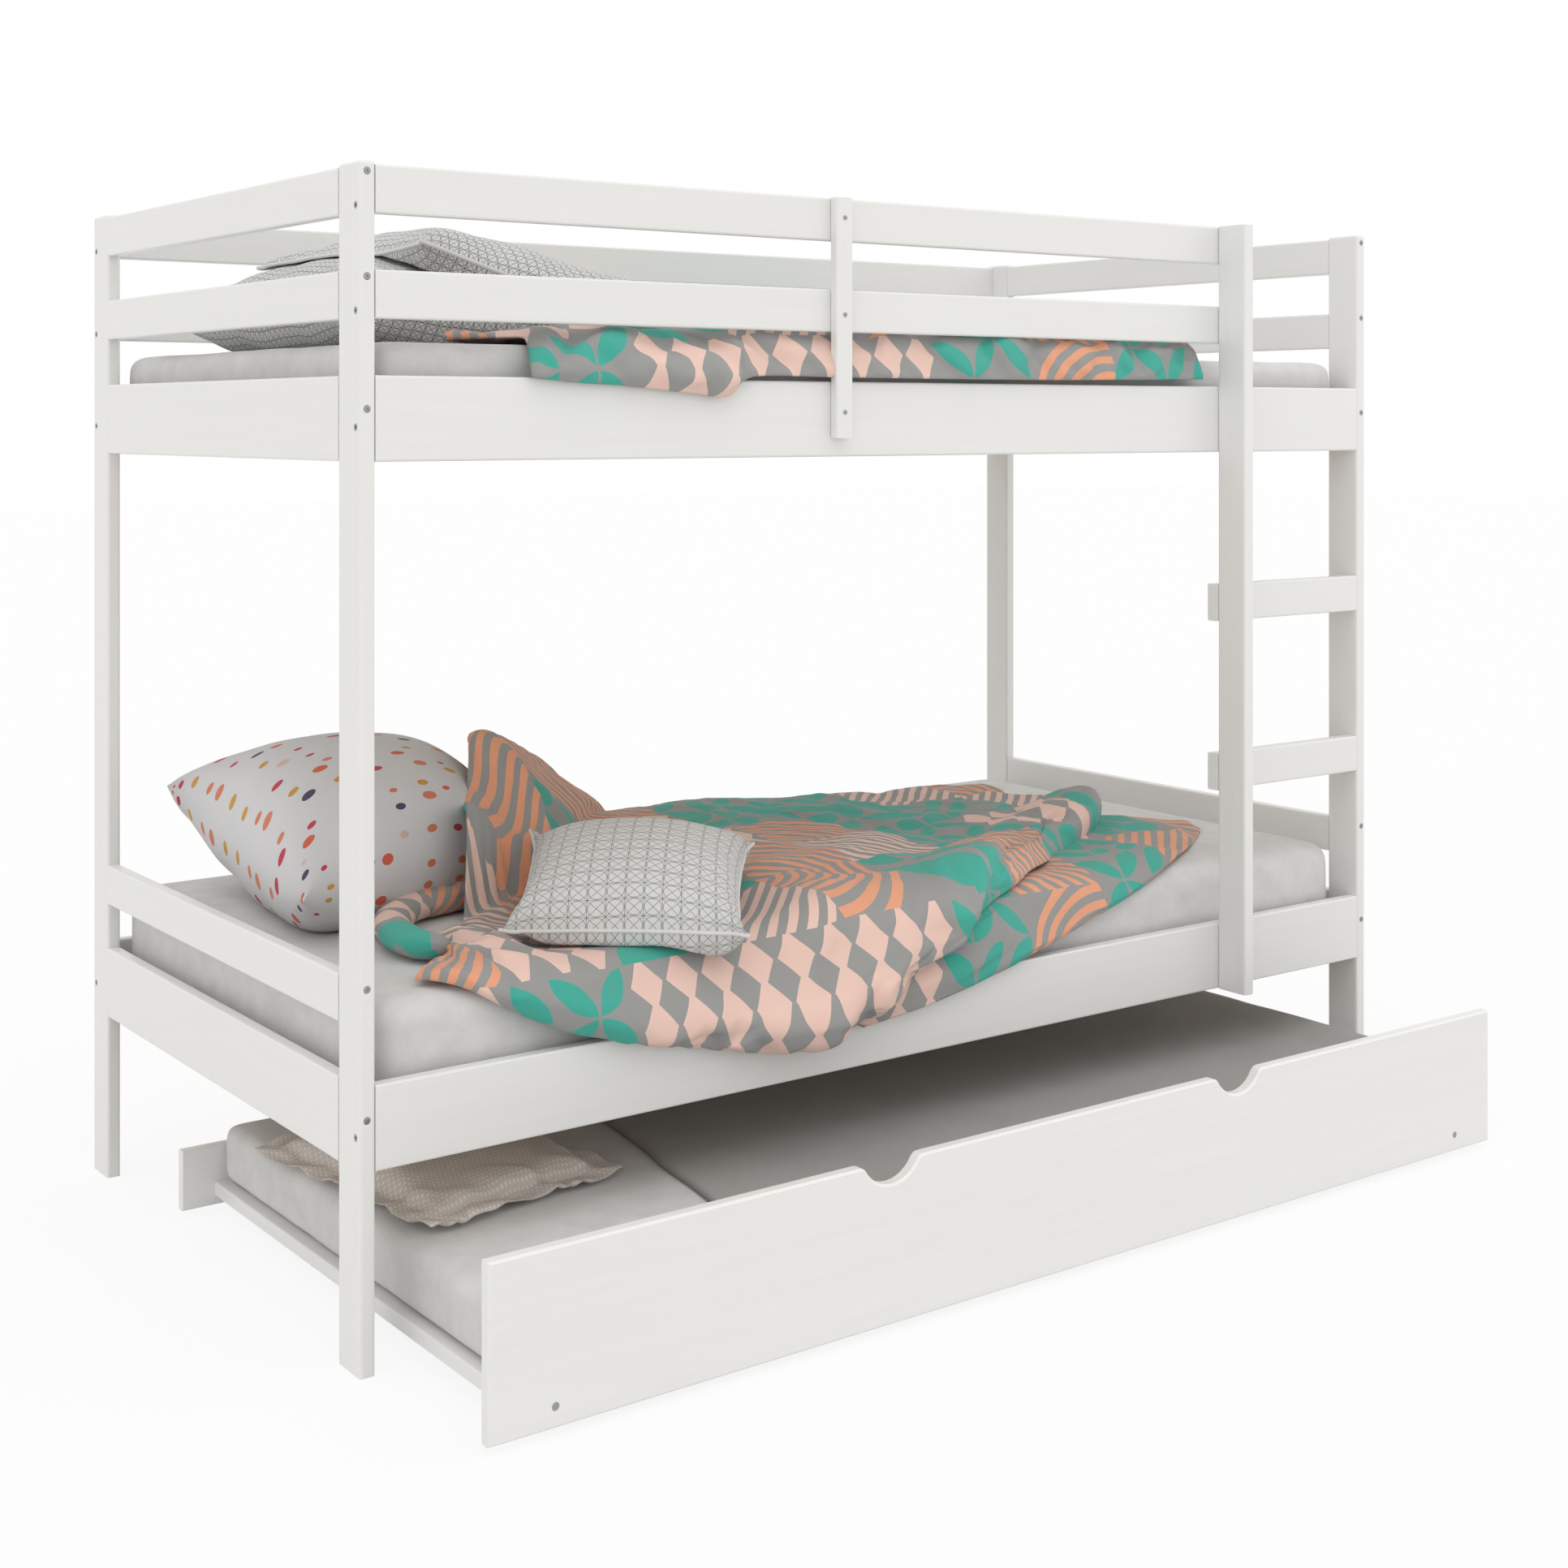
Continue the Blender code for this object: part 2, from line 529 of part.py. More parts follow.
def make_front_panel(parent):
    """The trundle's tall front panel, with a hand notch near each end of its top edge."""
    top = FRONT_PANEL_BOTTOM + FRONT_PANEL_HEIGHT
    middle_y = (TRUNDLE_FRONT + TRUNDLE_INNER_FRONT) / 2
    outline = [(PANEL_LEFT, FRONT_PANEL_BOTTOM), (PANEL_LEFT, top)]
    for side in (-1, 1):
        outline += notch_outline(side * NOTCH_FROM_MIDDLE, top)
    outline += [(PANEL_RIGHT, top), (PANEL_RIGHT, FRONT_PANEL_BOTTOM)]
    shape = bmesh.new()
    face = shape.faces.new([shape.verts.new((x, -PANEL_THICKNESS / 2, z - top / 2)) for x, z in outline])
    pushed = bmesh.ops.extrude_face_region(shape, geom=[face])
    moved = [v for v in pushed["geom"] if isinstance(v, bmesh.types.BMVert)]
    bmesh.ops.translate(shape, vec=(0, PANEL_THICKNESS, 0), verts=moved)
    bmesh.ops.recalc_face_normals(shape, faces=shape.faces)
    rims = [e for e in shape.edges if not along(e, 1)]
    round_edges(shape, rims, EDGE_ROUNDING, 1)
    panel = put_object("trundle_front_panel", shape, (0, middle_y, top / 2), white_lacquer("trundle_front_panel"), parent)
    height = END_RAIL_BOTTOM + END_RAIL_THICKNESS / 2
    outward = (CUT_OVERRUN - BOLT_RECESS_DEPTH) / 2
    for side in (-1, 1):
        place = (side * (END_RAIL_OUTER + END_RAIL_INNER) / 2, TRUNDLE_FRONT - outward, height)
        cut(panel, put_cylinder_cutter(f"panel_drill_{side}", place, PANEL_BOLT_RADIUS,
                                       BOLT_RECESS_DEPTH + CUT_OVERRUN, 1))


def make_panel_bolts(parent):
    """The two visible connector bolts of the front panel, seated in their recesses."""
    height = END_RAIL_BOTTOM + END_RAIL_THICKNESS / 2
    seat = TRUNDLE_FRONT + BOLT_RECESS_DEPTH - FACE_GAP
    for side, side_name in ((-1, "left"), (1, "right")):
        shape = bmesh.new()
        radius = PANEL_BOLT_RADIUS - FACE_GAP
        bmesh.ops.create_cone(shape, cap_ends=True, segments=BOLT_SIDES, radius1=radius, radius2=radius,
                              depth=BOLT_THICKNESS)
        bolt = put_object(f"trundle_bolt_{side_name}", shape,
                          (side * (END_RAIL_OUTER + END_RAIL_INNER) / 2, seat - BOLT_THICKNESS / 2, height),
                          zinc(side_name), parent)
        bolt.rotation_euler = Euler((math.pi / 2, 0, 0))


def make_trundle_frame(parent):
    make_front_panel(parent)
    make_panel_bolts(parent)
    put_board("trundle_back_panel", (PANEL_LEFT, TRUNDLE_INNER_BACK, BACK_PANEL_BOTTOM),
              (PANEL_RIGHT, TRUNDLE_BACK, BACK_PANEL_BOTTOM + BACK_PANEL_HEIGHT), 0,
              white_lacquer("trundle_back_panel"), parent)
    inner_front = TRUNDLE_INNER_FRONT + FACE_GAP
    inner_back = TRUNDLE_INNER_BACK - FACE_GAP
    for side, side_name in ((-1, "left"), (1, "right")):
        low_x = min(side * END_RAIL_OUTER, side * END_RAIL_INNER)
        put_board(f"trundle_{side_name}_end_rail", (low_x, inner_front, END_RAIL_BOTTOM),
                  (low_x + END_RAIL_WIDTH, inner_back, TRUNDLE_SLAT_TOP), 1,
                  white_lacquer(f"trundle_{side_name}_rail"), parent)
    ledger_left = -END_RAIL_INNER + FACE_GAP
    ledger_top = TRUNDLE_SLAT_TOP - TRUNDLE_SLAT_THICKNESS - FACE_GAP
    ledger_bottom = ledger_top - TRUNDLE_LEDGER_HEIGHT
    put_board("trundle_front_ledger", (ledger_left, inner_front, ledger_bottom),
              (-ledger_left, inner_front + TRUNDLE_LEDGER_WIDTH, ledger_top), 0, bare_pine("trundle_front"),
              parent, radius=0)
    put_board("trundle_back_ledger", (ledger_left, inner_back - TRUNDLE_LEDGER_WIDTH, ledger_bottom),
              (-ledger_left, inner_back, ledger_top), 0, bare_pine("trundle_back"), parent, radius=0)


def trundle_slat_lefts():
    margin = END_RAIL_INNER - FIRST_SLAT_INSET
    return slat_lefts(-margin, margin, TRUNDLE_SLAT_WIDTH, TRUNDLE_SLAT_COUNT)


def make_trundle_base(parent):
    put_slat_base("trundle_slat_base", trundle_slat_lefts(), TRUNDLE_SLAT_WIDTH,
                  Vector((0, TRUNDLE_INNER_FRONT + SLAT_END_CLEARANCE, TRUNDLE_SLAT_TOP - TRUNDLE_SLAT_THICKNESS)),
                  Vector((0, TRUNDLE_INNER_BACK - SLAT_END_CLEARANCE, TRUNDLE_SLAT_TOP)), parent)
    half = TRUNDLE_MATTRESS_LENGTH / 2
    low = TRUNDLE_SLAT_TOP + FACE_GAP + (1 - TAPE_SINK_SHARE) * TAPE_THICKNESS
    put_mattress("trundle_mattress", (-half, TRUNDLE_INNER_FRONT + TRUNDLE_MATTRESS_CLEARANCE, low),
                 (half, TRUNDLE_INNER_BACK - TRUNDLE_MATTRESS_CLEARANCE, TRUNDLE_MATTRESS_TOP),
                 TRUNDLE_MATTRESS_ROUNDING, (0.62, 0.62, 0.61), parent)


def castor_places():
    """Name, wheel centre and the way to the panel, +1 or -1 in Y, for each castor."""
    lefts = trundle_slat_lefts()
    gap_middle = (lefts[SLATS_BEYOND_CASTOR_COUNT - 1] + TRUNDLE_SLAT_WIDTH + lefts[SLATS_BEYOND_CASTOR_COUNT]) / 2
    from_ledger = TRUNDLE_LEDGER_WIDTH + 2 * FACE_GAP + FORK_THICKNESS + WHEEL_SIDE_PLAY + WHEEL_RADIUS
    for side, side_name in ((1, "left"), (-1, "right")):
        yield (f"front_{side_name}", Vector((side * gap_middle, TRUNDLE_INNER_FRONT + from_ledger, WHEEL_RADIUS)), -1)
        yield (f"back_{side_name}", Vector((side * gap_middle, TRUNDLE_INNER_BACK - from_ledger, WHEEL_RADIUS)), 1)


def put_castor_housing(name, centre, way, parent):
    """A fork screwed to the ledger's inner face, with its axle. way points to the ledger."""
    half_gap = WHEEL_WIDTH / 2 + WHEEL_SIDE_PLAY
    half_width = half_gap + FORK_THICKNESS
    fork_bottom = CHEEK_BOTTOM
    plate_low = 2 * WHEEL_RADIUS + WHEEL_TOP_PLAY
    plate_high = plate_low + FORK_THICKNESS
    back = centre.y + way * (WHEEL_RADIUS + WHEEL_SIDE_PLAY + FORK_THICKNESS)
    nose = centre.y - way * WHEEL_RADIUS
    height = plate_high - fork_bottom
    middle_y = (back + nose) / 2
    cheek = (FORK_THICKNESS, abs(back - nose), height)
    housing = put_object(name, box_shape(cheek),
                         (centre.x - half_gap - FORK_THICKNESS / 2, middle_y, fork_bottom + height / 2),
                         dark_plastic(name), parent)
    add_to(housing, name + "_cheek", cheek,
           (centre.x + half_gap + FORK_THICKNESS / 2, middle_y, fork_bottom + height / 2), parent)
    add_to(housing, name + "_plate", (2 * half_width - FORK_THICKNESS, abs(back - nose) - FORK_THICKNESS, FORK_THICKNESS),
           (centre.x, middle_y + way * FORK_THICKNESS / 2, plate_high - FORK_THICKNESS / 2), parent)
    add_to(housing, name + "_back", (2 * half_width - FORK_THICKNESS, FORK_THICKNESS, height - FORK_THICKNESS),
           (centre.x, back - way * FORK_THICKNESS / 2, fork_bottom + height / 2), parent)
    shape = bmesh.new()
    bmesh.ops.create_cone(shape, cap_ends=True, segments=AXLE_SIDES, radius1=AXLE_RADIUS, radius2=AXLE_RADIUS,
                          depth=2 * half_gap + FORK_THICKNESS)
    axle = put_object(name + "_axle", shape, centre, zinc(name), parent)
    axle.rotation_euler = Euler((0, math.pi / 2, 0))
    axle.hide_render = True
    axle.display_type = "WIRE"
    union = housing.modifiers.new("axle", "BOOLEAN")
    union.operation = "UNION"
    union.object = axle


def put_wheel(name, centre, parent):
    """A castor wheel spun from half its section, with its bore round the axle and its origin on it."""
    bore = (AXLE_RADIUS + AXLE_CLEARANCE) / math.cos(math.pi / WHEEL_SEGMENTS)
    half = WHEEL_WIDTH / 2
    profile = [(bore, -half), (WHEEL_RADIUS - WHEEL_ROUNDING, -half), (WHEEL_RADIUS, -half + WHEEL_ROUNDING),
               (WHEEL_RADIUS, half - WHEEL_ROUNDING), (WHEEL_RADIUS - WHEEL_ROUNDING, half), (bore, half)]
    shape = bmesh.new()
    rings = []
    for number in range(WHEEL_SEGMENTS):
        angle = 2 * math.pi * number / WHEEL_SEGMENTS
        rings.append([shape.verts.new((x, radius * math.sin(angle), -radius * math.cos(angle)))
                      for radius, x in profile])
    count = len(profile)
    for number, ring in enumerate(rings):
        following = rings[(number + 1) % WHEEL_SEGMENTS]
        for corner in range(count):
            beside = (corner + 1) % count
            shape.faces.new((ring[corner], ring[beside], following[beside], following[corner]))
    face_outwards(shape)
    wheel = put_object(name, shape, centre, dark_plastic(name), parent)
    wheel.data.shade_smooth()
    wheel.data.set_sharp_from_angle(angle=math.radians(40))


def make_castors(parent):
    for place, centre, way in castor_places():
        put_castor_housing(f"castor_{place}_housing", centre, way, parent)
        put_wheel(f"castor_{place}_wheel", centre, parent)


def closed_pad(steps, surfaces):
    """A closed shape of an upper and a lower grid that share their border points."""
    columns, rows = steps
    shape = bmesh.new()
    upper, lower = {}, {}
    for i in range(columns + 1):
        for j in range(rows + 1):
            above, below = surfaces(i / columns, j / rows)
            upper[i, j] = shape.verts.new(above)
            border = i in (0, columns) or j in (0, rows)
            lower[i, j] = upper[i, j] if border else shape.verts.new(below)
    for i in range(columns):
        for j in range(rows):
            corners = ((i, j), (i + 1, j), (i + 1, j + 1), (i, j + 1))
            shape.faces.new([upper[c] for c in corners])
            shape.faces.new([lower[c] for c in reversed(corners)])
    face_outwards(shape)
    return shape


def pillow_surfaces(size, rise, turn, centre, floor_height, pull=(0, 0)):
    """Upper and lower points of a pillow: crowned, with sides drawn in between its corners. The near right
    corner can be pulled out of square."""
    rotation = Euler(turn).to_matrix()

    def surfaces(u, v):
        a = math.sin(math.pi * (u - 0.5))
        b = math.sin(math.pi * (v - 0.5))
        x = size[0] / 2 * a * (1 - SIDE_PULL_SHARE * (1 - b * b) * a * a)
        y = size[1] / 2 * b * (1 - SIDE_PULL_SHARE * (1 - a * a) * b * b)
        pulled = (1 + a) * (1 - b) / 4
        x, y = x + pull[0] * pulled, y + pull[1] * pulled
        crown = rise * max((1 - a * a) * (1 - b * b), 0) ** CROWN_POWER
        above = centre + rotation @ Vector((x, y, crown))
        below = centre + rotation @ Vector((x, y, -crown))
        below.z = max(below.z, floor_height(below.x, below.y))
        above.z = max(above.z, below.z + min(crown, THINNEST_FABRIC))
        return above, below

    return surfaces


def on_mattress(shares):
    """Lengths along and across a bunk, from shares of its mattress."""
    return shares[0] * MATTRESS_LENGTH, shares[1] * MATTRESS_WIDTH


def mattress_point(mattress_top, shares, lift):
    """A place over a bunk's mattress, from shares of its length and width."""
    return Vector((-MATTRESS_LENGTH / 2 + shares[0] * MATTRESS_LENGTH,
                   MATTRESS_FRONT + shares[1] * MATTRESS_WIDTH, mattress_top + lift))


def tree_of(shape):
    return BVHTree.FromBMesh(shape)


def top_of(tree, x, y, otherwise):
    """Height of a shape's top at a place, or otherwise where the shape doesn't reach."""
    hit = tree.ray_cast(Vector((x, y, BED_LENGTH)), Vector((0, 0, -1)))[0]
    return hit.z if hit else otherwise


def highest_near(tree, x, y, reach, otherwise):
    """Highest top of a shape within reach of a place."""
    steps = (-1, 0, 1)
    places = [(x + i * reach, y + j * reach) for i in steps for j in steps]
    places += [(x + i * reach / 2, y + j * reach / 2) for i in steps for j in steps]
    return max(top_of(tree, px, py, otherwise) for px, py in places)


def settle(shape, under_tree, under_shape):
    """Moves a shape straight down until it almost touches the shape under it."""
    own_tree = tree_of(shape)
    down, up = Vector((0, 0, -1)), Vector((0, 0, 1))
    gaps = []
    for vert in shape.verts:
        hit = under_tree.ray_cast(vert.co, down)[0]
        if hit:
            gaps.append(vert.co.z - hit.z)
    samples = [v.co for v in under_shape.verts] + [e.verts[0].co.lerp(e.verts[1].co, 0.5) for e in under_shape.edges]
    samples += [f.calc_center_median() for f in under_shape.faces]
    for place in samples:
        start = Vector((place.x, place.y, place.z - THINNEST_FABRIC))
        hit = own_tree.ray_cast(start, up)[0]
        if hit and top_of(under_tree, place.x, place.y, -BED_LENGTH) <= place.z + THINNEST_FABRIC:
            gaps.append(hit.z - place.z)
    fall = min(gaps) - SOFT_GAP if gaps else 0
    bmesh.ops.translate(shape, vec=(0, 0, -fall), verts=shape.verts)


def gap_before_bend(distance):
    """A sheet's gap over a mattress: it lies on it, and lifts off a little towards the bend at its edge."""
    return SOFT_GAP + (DRAPE_GAP - SOFT_GAP) * smooth_step(1 - distance / DRAPE_RUN_IN)


def taut_path(arc_middle, arc_radius, corner):
    """Cross-section that a sheet follows: level, round the mattress's edge, then taut to the board's outer
    top corner and straight down. Returns a function from the distance past the level part to a point
    (y, z) and its outward normal (y, z)."""
    to_corner = (corner[0] - arc_middle[0], corner[1] - arc_middle[1])
    reach = math.hypot(*to_corner)
    lean = math.atan2(-to_corner[1], -to_corner[0])
    bend = lean + math.asin((arc_radius - BOARD_TOP_CLEARANCE) / reach)
    arc_length = arc_radius * bend
    run = math.sqrt(reach ** 2 - (arc_radius - BOARD_TOP_CLEARANCE) ** 2)
    corner_length = BOARD_TOP_CLEARANCE * (math.pi / 2 - bend)

    def on_arc(middle, radius, angle):
        normal = (-math.sin(angle), math.cos(angle))
        return (middle[0] + radius * normal[0], middle[1] + radius * normal[1]), normal

    def point_at(distance):
        if distance <= 0:
            height = arc_middle[1] + arc_radius - DRAPE_GAP + gap_before_bend(-distance)
            return (arc_middle[0] - distance, height), (0.0, 1.0)
        if distance <= arc_length:
            return on_arc(arc_middle, arc_radius, distance / arc_radius)
        left = distance - arc_length
        if left <= run:
            start, normal = on_arc(arc_middle, arc_radius, bend)
            return (start[0] - left * math.cos(bend), start[1] - left * math.sin(bend)), normal
        left -= run
        if left <= corner_length:
            return on_arc(corner, BOARD_TOP_CLEARANCE, bend + left / BOARD_TOP_CLEARANCE)
        left -= corner_length
        return (corner[0] - BOARD_TOP_CLEARANCE, corner[1] - left), (-1.0, 0.0)

    return point_at


def curve_through(points):
    """A smooth curve through points, from 0 at the first to 1 at the last, by their chord lengths."""
    spots = [Vector(point) for point in points]
    lengths = [0.0]
    for first, second in zip(spots, spots[1:]):
        lengths.append(lengths[-1] + (second - first).length)
    marks = [length / lengths[-1] for length in lengths]
    ends = [2 * spots[0] - spots[1]] + spots + [2 * spots[-1] - spots[-2]]

    def at(share):
        number = 0
        while number < len(spots) - 2 and share > marks[number + 1]:
            number += 1
        t = (share - marks[number]) / (marks[number + 1] - marks[number])
        before, start, end, after = ends[number:number + 4]
        slope_in = (end - before) / 2
        slope_out = (after - start) / 2
        return (start * (1 + 2 * t) * (1 - t) ** 2 + slope_in * t * (1 - t) ** 2
                + end * t * t * (3 - 2 * t) + slope_out * t * t * (t - 1))

    return at


def patch(left, right, far, near):
    """A surface of two parameters that fills four border curves."""
    left, right, far, near = (curve_through(points) for points in (left, right, far, near))

    def at(u, v):
        sides = left(v).lerp(right(v), u)
        ends = far(u).lerp(near(u), v)
        corners = far(0).lerp(far(1), u).lerp(near(0).lerp(near(1), u), v)
        return sides + ends - corners

    return at


def smooth_step(value):
    value = min(max(value, 0.0), 1.0)
    return value * value * (3 - 2 * value)


def edge_fade(u, v):
    """From 0 at the hem to 1 inside."""
    nearest = min(u, 1 - u, v, 1 - v)
    return math.sqrt(smooth_step(nearest / DUVET_EDGE_SHARE))


def fold_and_press(place):
    """Extra height of the lower duvet's diagonal fold, and the share of its filling that is left at a
    place: less in the thin flap beyond the fold, and less under the cushion."""
    start, end = Vector(FOLD_START_SHARES), Vector(FOLD_END_SHARES)
    scale = Vector((MATTRESS_LENGTH, MATTRESS_WIDTH))
    start, end, place = start * scale, end * scale, Vector(place) * scale
    run = (end - start).normalized()
    across = Vector((run.y, -run.x))
    aside = (place - start).dot(across)
    down = (place - start).dot(run) / (end - start).length
    crest = FOLD_RISE * (1 - FOLD_FALL_SHARE * smooth_step(down))
    filling = 1 - smooth_step(-aside / FOLD_FRONT) * (1 - FLAP_THICKNESS_SHARE)
    off_cushion = (place - Vector(CUSHION_CENTRE_SHARES) * scale).length
    filling *= 1 - PRESSED_SHARE * smooth_step(2 - 2 * off_cushion / PRESSED_REACH)
    reach = FOLD_FRONT if aside < 0 else FOLD_BACK
    return crest * smooth_step(1 - abs(aside) / reach), filling


def plain(place):
    """A duvet with no fold, filled alike all over."""
    return 0, 1


def duvet_surfaces(outline, filling, path, support, extra):
    """Upper and lower points of a duvet that lies on a mattress and hangs over its front edge."""
    def surfaces(u, v):
        v = 1 - (1 - v) ** ROW_CROWDING_POWER
        place = outline(u, v)
        x = -MATTRESS_LENGTH / 2 + place[0] * MATTRESS_LENGTH
        past = MATTRESS_ROUNDING - place[1] * MATTRESS_WIDTH
        (y, z), normal = path(past)
        z = max(z, support(x, y))
        rise, share = extra(place)
        wave = WAVE_SHARE * filling * math.sin(WAVES_ALONG * math.tau * u + 2 * v) * math.cos(WAVES_ACROSS * math.tau * v)
        thickness = ((filling + wave) * share + rise) * edge_fade(u, v)
        below = Vector((x, y, z))
        return below + thickness * Vector((0, normal[0], normal[1])), below

    return surfaces


def flat_floor(height):
    return lambda x, y: height


def floor_over(tree, top):
    """Lowest height for a soft piece that lies partly on another and partly on a mattress."""
    return lambda x, y: highest_near(tree, x, y, PILLOW_REACH, top) + SOFT_GAP


def drape_path(top, board_top):
    edge_middle = (MATTRESS_FRONT + MATTRESS_ROUNDING, top - MATTRESS_ROUNDING)
    return taut_path(edge_middle, MATTRESS_ROUNDING + DRAPE_GAP, (FRONT, board_top))


def make_lower_bedding():
    top = LOWER_MATTRESS_TOP
    floor = flat_floor(top + SOFT_GAP)
    centre = mattress_point(top, LOWER_PILLOW_CENTRE_SHARES, LOWER_PILLOW_LIFT)
    pillow = closed_pad((PILLOW_STEPS, PILLOW_STEPS),
                        pillow_surfaces(on_mattress(LOWER_PILLOW_SIZE_SHARES), LOWER_PILLOW_RISE,
                                        LOWER_PILLOW_TURN, centre, floor,
                                        on_mattress(LOWER_PILLOW_CORNER_PULL_SHARES)))
    pillow_tree = tree_of(pillow)

    def support(x, y):
        height = highest_near(pillow_tree, x, y, DUVET_REACH, -BED_LENGTH)
        return height + DRAPE_GAP if height > top else -BED_LENGTH

    outline = patch(LOWER_LEFT_SHARES, LOWER_RIGHT_SHARES, LOWER_FAR_SHARES, LOWER_NEAR_SHARES)
    duvet = closed_pad(LOWER_DUVET_STEPS,
                       duvet_surfaces(outline, LOWER_DUVET_THICKNESS,
                                      drape_path(top, LOWER_BOARD_TOP),
                                      support, fold_and_press))
    duvet_tree = tree_of(duvet)
    centre = mattress_point(top, CUSHION_CENTRE_SHARES, CUSHION_LIFT)
    cushion = closed_pad((PILLOW_STEPS, PILLOW_STEPS),
                         pillow_surfaces(on_mattress(CUSHION_SIZE_SHARES), CUSHION_RISE, CUSHION_TURN, centre,
                                         floor_over(duvet_tree, top)))
    settle(cushion, duvet_tree, duvet)
    put_soft("lower_pillow", pillow, (0.75, 0.75, 0.76))
    put_soft("lower_duvet", duvet, (0.36, 0.35, 0.35))
    put_soft("lower_cushion", cushion, (0.70, 0.70, 0.69))


def put_soft(name, shape, colour, parent=None):
    """A soft shape built in world coordinates becomes an object with its origin in its middle."""
    middle = sum((v.co for v in shape.verts), Vector()) / len(shape.verts)
    bmesh.ops.translate(shape, vec=-middle, verts=shape.verts)
    obj = put_object(name, shape, middle, fabric(name, colour), parent)
    obj.data.shade_smooth()
    return obj


def make_upper_bedding():
    top = UPPER_MATTRESS_TOP
    floor = flat_floor(top + SOFT_GAP)
    centre = mattress_point(top, UPPER_PILLOW_CENTRE_SHARES, UPPER_PILLOW_LIFT)
    lying = closed_pad((PILLOW_STEPS, PILLOW_STEPS),
                       pillow_surfaces(on_mattress(UPPER_PILLOW_SIZE_SHARES), UPPER_PILLOW_RISE, (0, 0, 0),
                                       centre, floor))
    lying_tree = tree_of(lying)
    centre = mattress_point(top, TOP_PILLOW_CENTRE_SHARES, TOP_PILLOW_LIFT)
    leaning = closed_pad((PILLOW_STEPS, PILLOW_STEPS),
                         pillow_surfaces(on_mattress(TOP_PILLOW_SIZE_SHARES), UPPER_PILLOW_RISE, TOP_PILLOW_TURN,
                                         centre, floor_over(lying_tree, top)))
    settle(leaning, lying_tree, lying)
    outline = patch(UPPER_LEFT_SHARES, UPPER_RIGHT_SHARES, UPPER_FAR_SHARES, UPPER_NEAR_SHARES)
    duvet = closed_pad(UPPER_DUVET_STEPS,
                       duvet_surfaces(outline, UPPER_DUVET_THICKNESS,
                                      drape_path(top, UPPER_BOARD_BOTTOM + BOARD_HEIGHT),
                                      flat_floor(-BED_LENGTH), plain))
    put_soft("upper_lying_pillow", lying, (0.70, 0.70, 0.69))
    put_soft("upper_top_pillow", leaning, (0.70, 0.70, 0.69))
    put_soft("upper_duvet", duvet, (0.36, 0.35, 0.35))


def blanket_surfaces(parent_top):
    """A thin blanket over the trundle's mattress that hangs down its right end."""
    right = TRUNDLE_MATTRESS_LENGTH / 2
    bend = TRUNDLE_MATTRESS_ROUNDING + DRAPE_GAP
    quarter = bend * math.pi / 2
    low_y = TRUNDLE_INNER_FRONT + TRUNDLE_MATTRESS_CLEARANCE + BLANKET_SIDE_CLEARANCE + TRUNDLE_MATTRESS_ROUNDING
    high_y = TRUNDLE_INNER_BACK - TRUNDLE_MATTRESS_CLEARANCE - BLANKET_SIDE_CLEARANCE - TRUNDLE_MATTRESS_ROUNDING

    def surfaces(u, v):
        left_share = BLANKET_LEFT_SHARES[0] * (1 - v) + BLANKET_LEFT_SHARES[1] * v
        left = -TRUNDLE_MATTRESS_LENGTH / 2 + left_share * TRUNDLE_MATTRESS_LENGTH
        level = right - TRUNDLE_MATTRESS_ROUNDING - left
        run = (1 - (1 - u) ** COLUMN_CROWDING_POWER) * (level + quarter + BLANKET_END_DROP - bend)
        if run <= level:
            place = Vector((left + run, 0, parent_top + gap_before_bend(level - run)))
            normal = Vector((0, 0, 1))
        else:
            angle = min((run - level) / bend, math.pi / 2)
            normal = Vector((math.sin(angle), 0, math.cos(angle)))
            drop = max(run - level - quarter, 0)
            place = Vector((right - TRUNDLE_MATTRESS_ROUNDING, 0, parent_top - TRUNDLE_MATTRESS_ROUNDING - drop))
            place += bend * normal
        place.y = low_y + v * (high_y - low_y)
        return place + BLANKET_THICKNESS * normal, place

    return surfaces


def make_trundle_bedding(parent):
    top = TRUNDLE_MATTRESS_TOP
    floor = flat_floor(top + SOFT_GAP)
    width = TRUNDLE_INNER_BACK - TRUNDLE_INNER_FRONT
    shares = TRUNDLE_PILLOW_CENTRE_SHARES
    centre = Vector((-TRUNDLE_MATTRESS_LENGTH / 2 + shares[0] * TRUNDLE_MATTRESS_LENGTH,
                     TRUNDLE_INNER_FRONT + shares[1] * width, top + TRUNDLE_PILLOW_LIFT))
    size = (TRUNDLE_PILLOW_SIZE_SHARES[0] * TRUNDLE_MATTRESS_LENGTH, TRUNDLE_PILLOW_SIZE_SHARES[1] * width)
    pillow = closed_pad((PILLOW_STEPS, PILLOW_STEPS),
                        pillow_surfaces(size, TRUNDLE_PILLOW_RISE, TRUNDLE_PILLOW_TURN, centre, floor))
    put_soft("trundle_pillow", pillow, (0.45, 0.40, 0.37), parent)
    put_soft("trundle_blanket", closed_pad(BLANKET_STEPS, blanket_surfaces(top)), (0.22, 0.21, 0.20), parent)


def main():
    clear_scene()
    make_posts()
    make_boards()
    make_ladder()
    make_guard_upright()
    make_bunk_base("lower", LOWER_BOARD_BOTTOM)
    make_bunk_base("upper", UPPER_BOARD_BOTTOM)
    make_mattresses()
    trundle = put_empty("trundle_slide", (0, (TRUNDLE_FRONT + TRUNDLE_BACK) / 2, 0))
    make_trundle_frame(trundle)
    make_trundle_base(trundle)
    make_castors(trundle)
    make_lower_bedding()
    make_upper_bedding()
    make_trundle_bedding(trundle)


main()
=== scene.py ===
import math

import bmesh
import bpy
import numpy as np
from mathutils import Euler, Matrix, Vector, noise
from mathutils.bvhtree import BVHTree


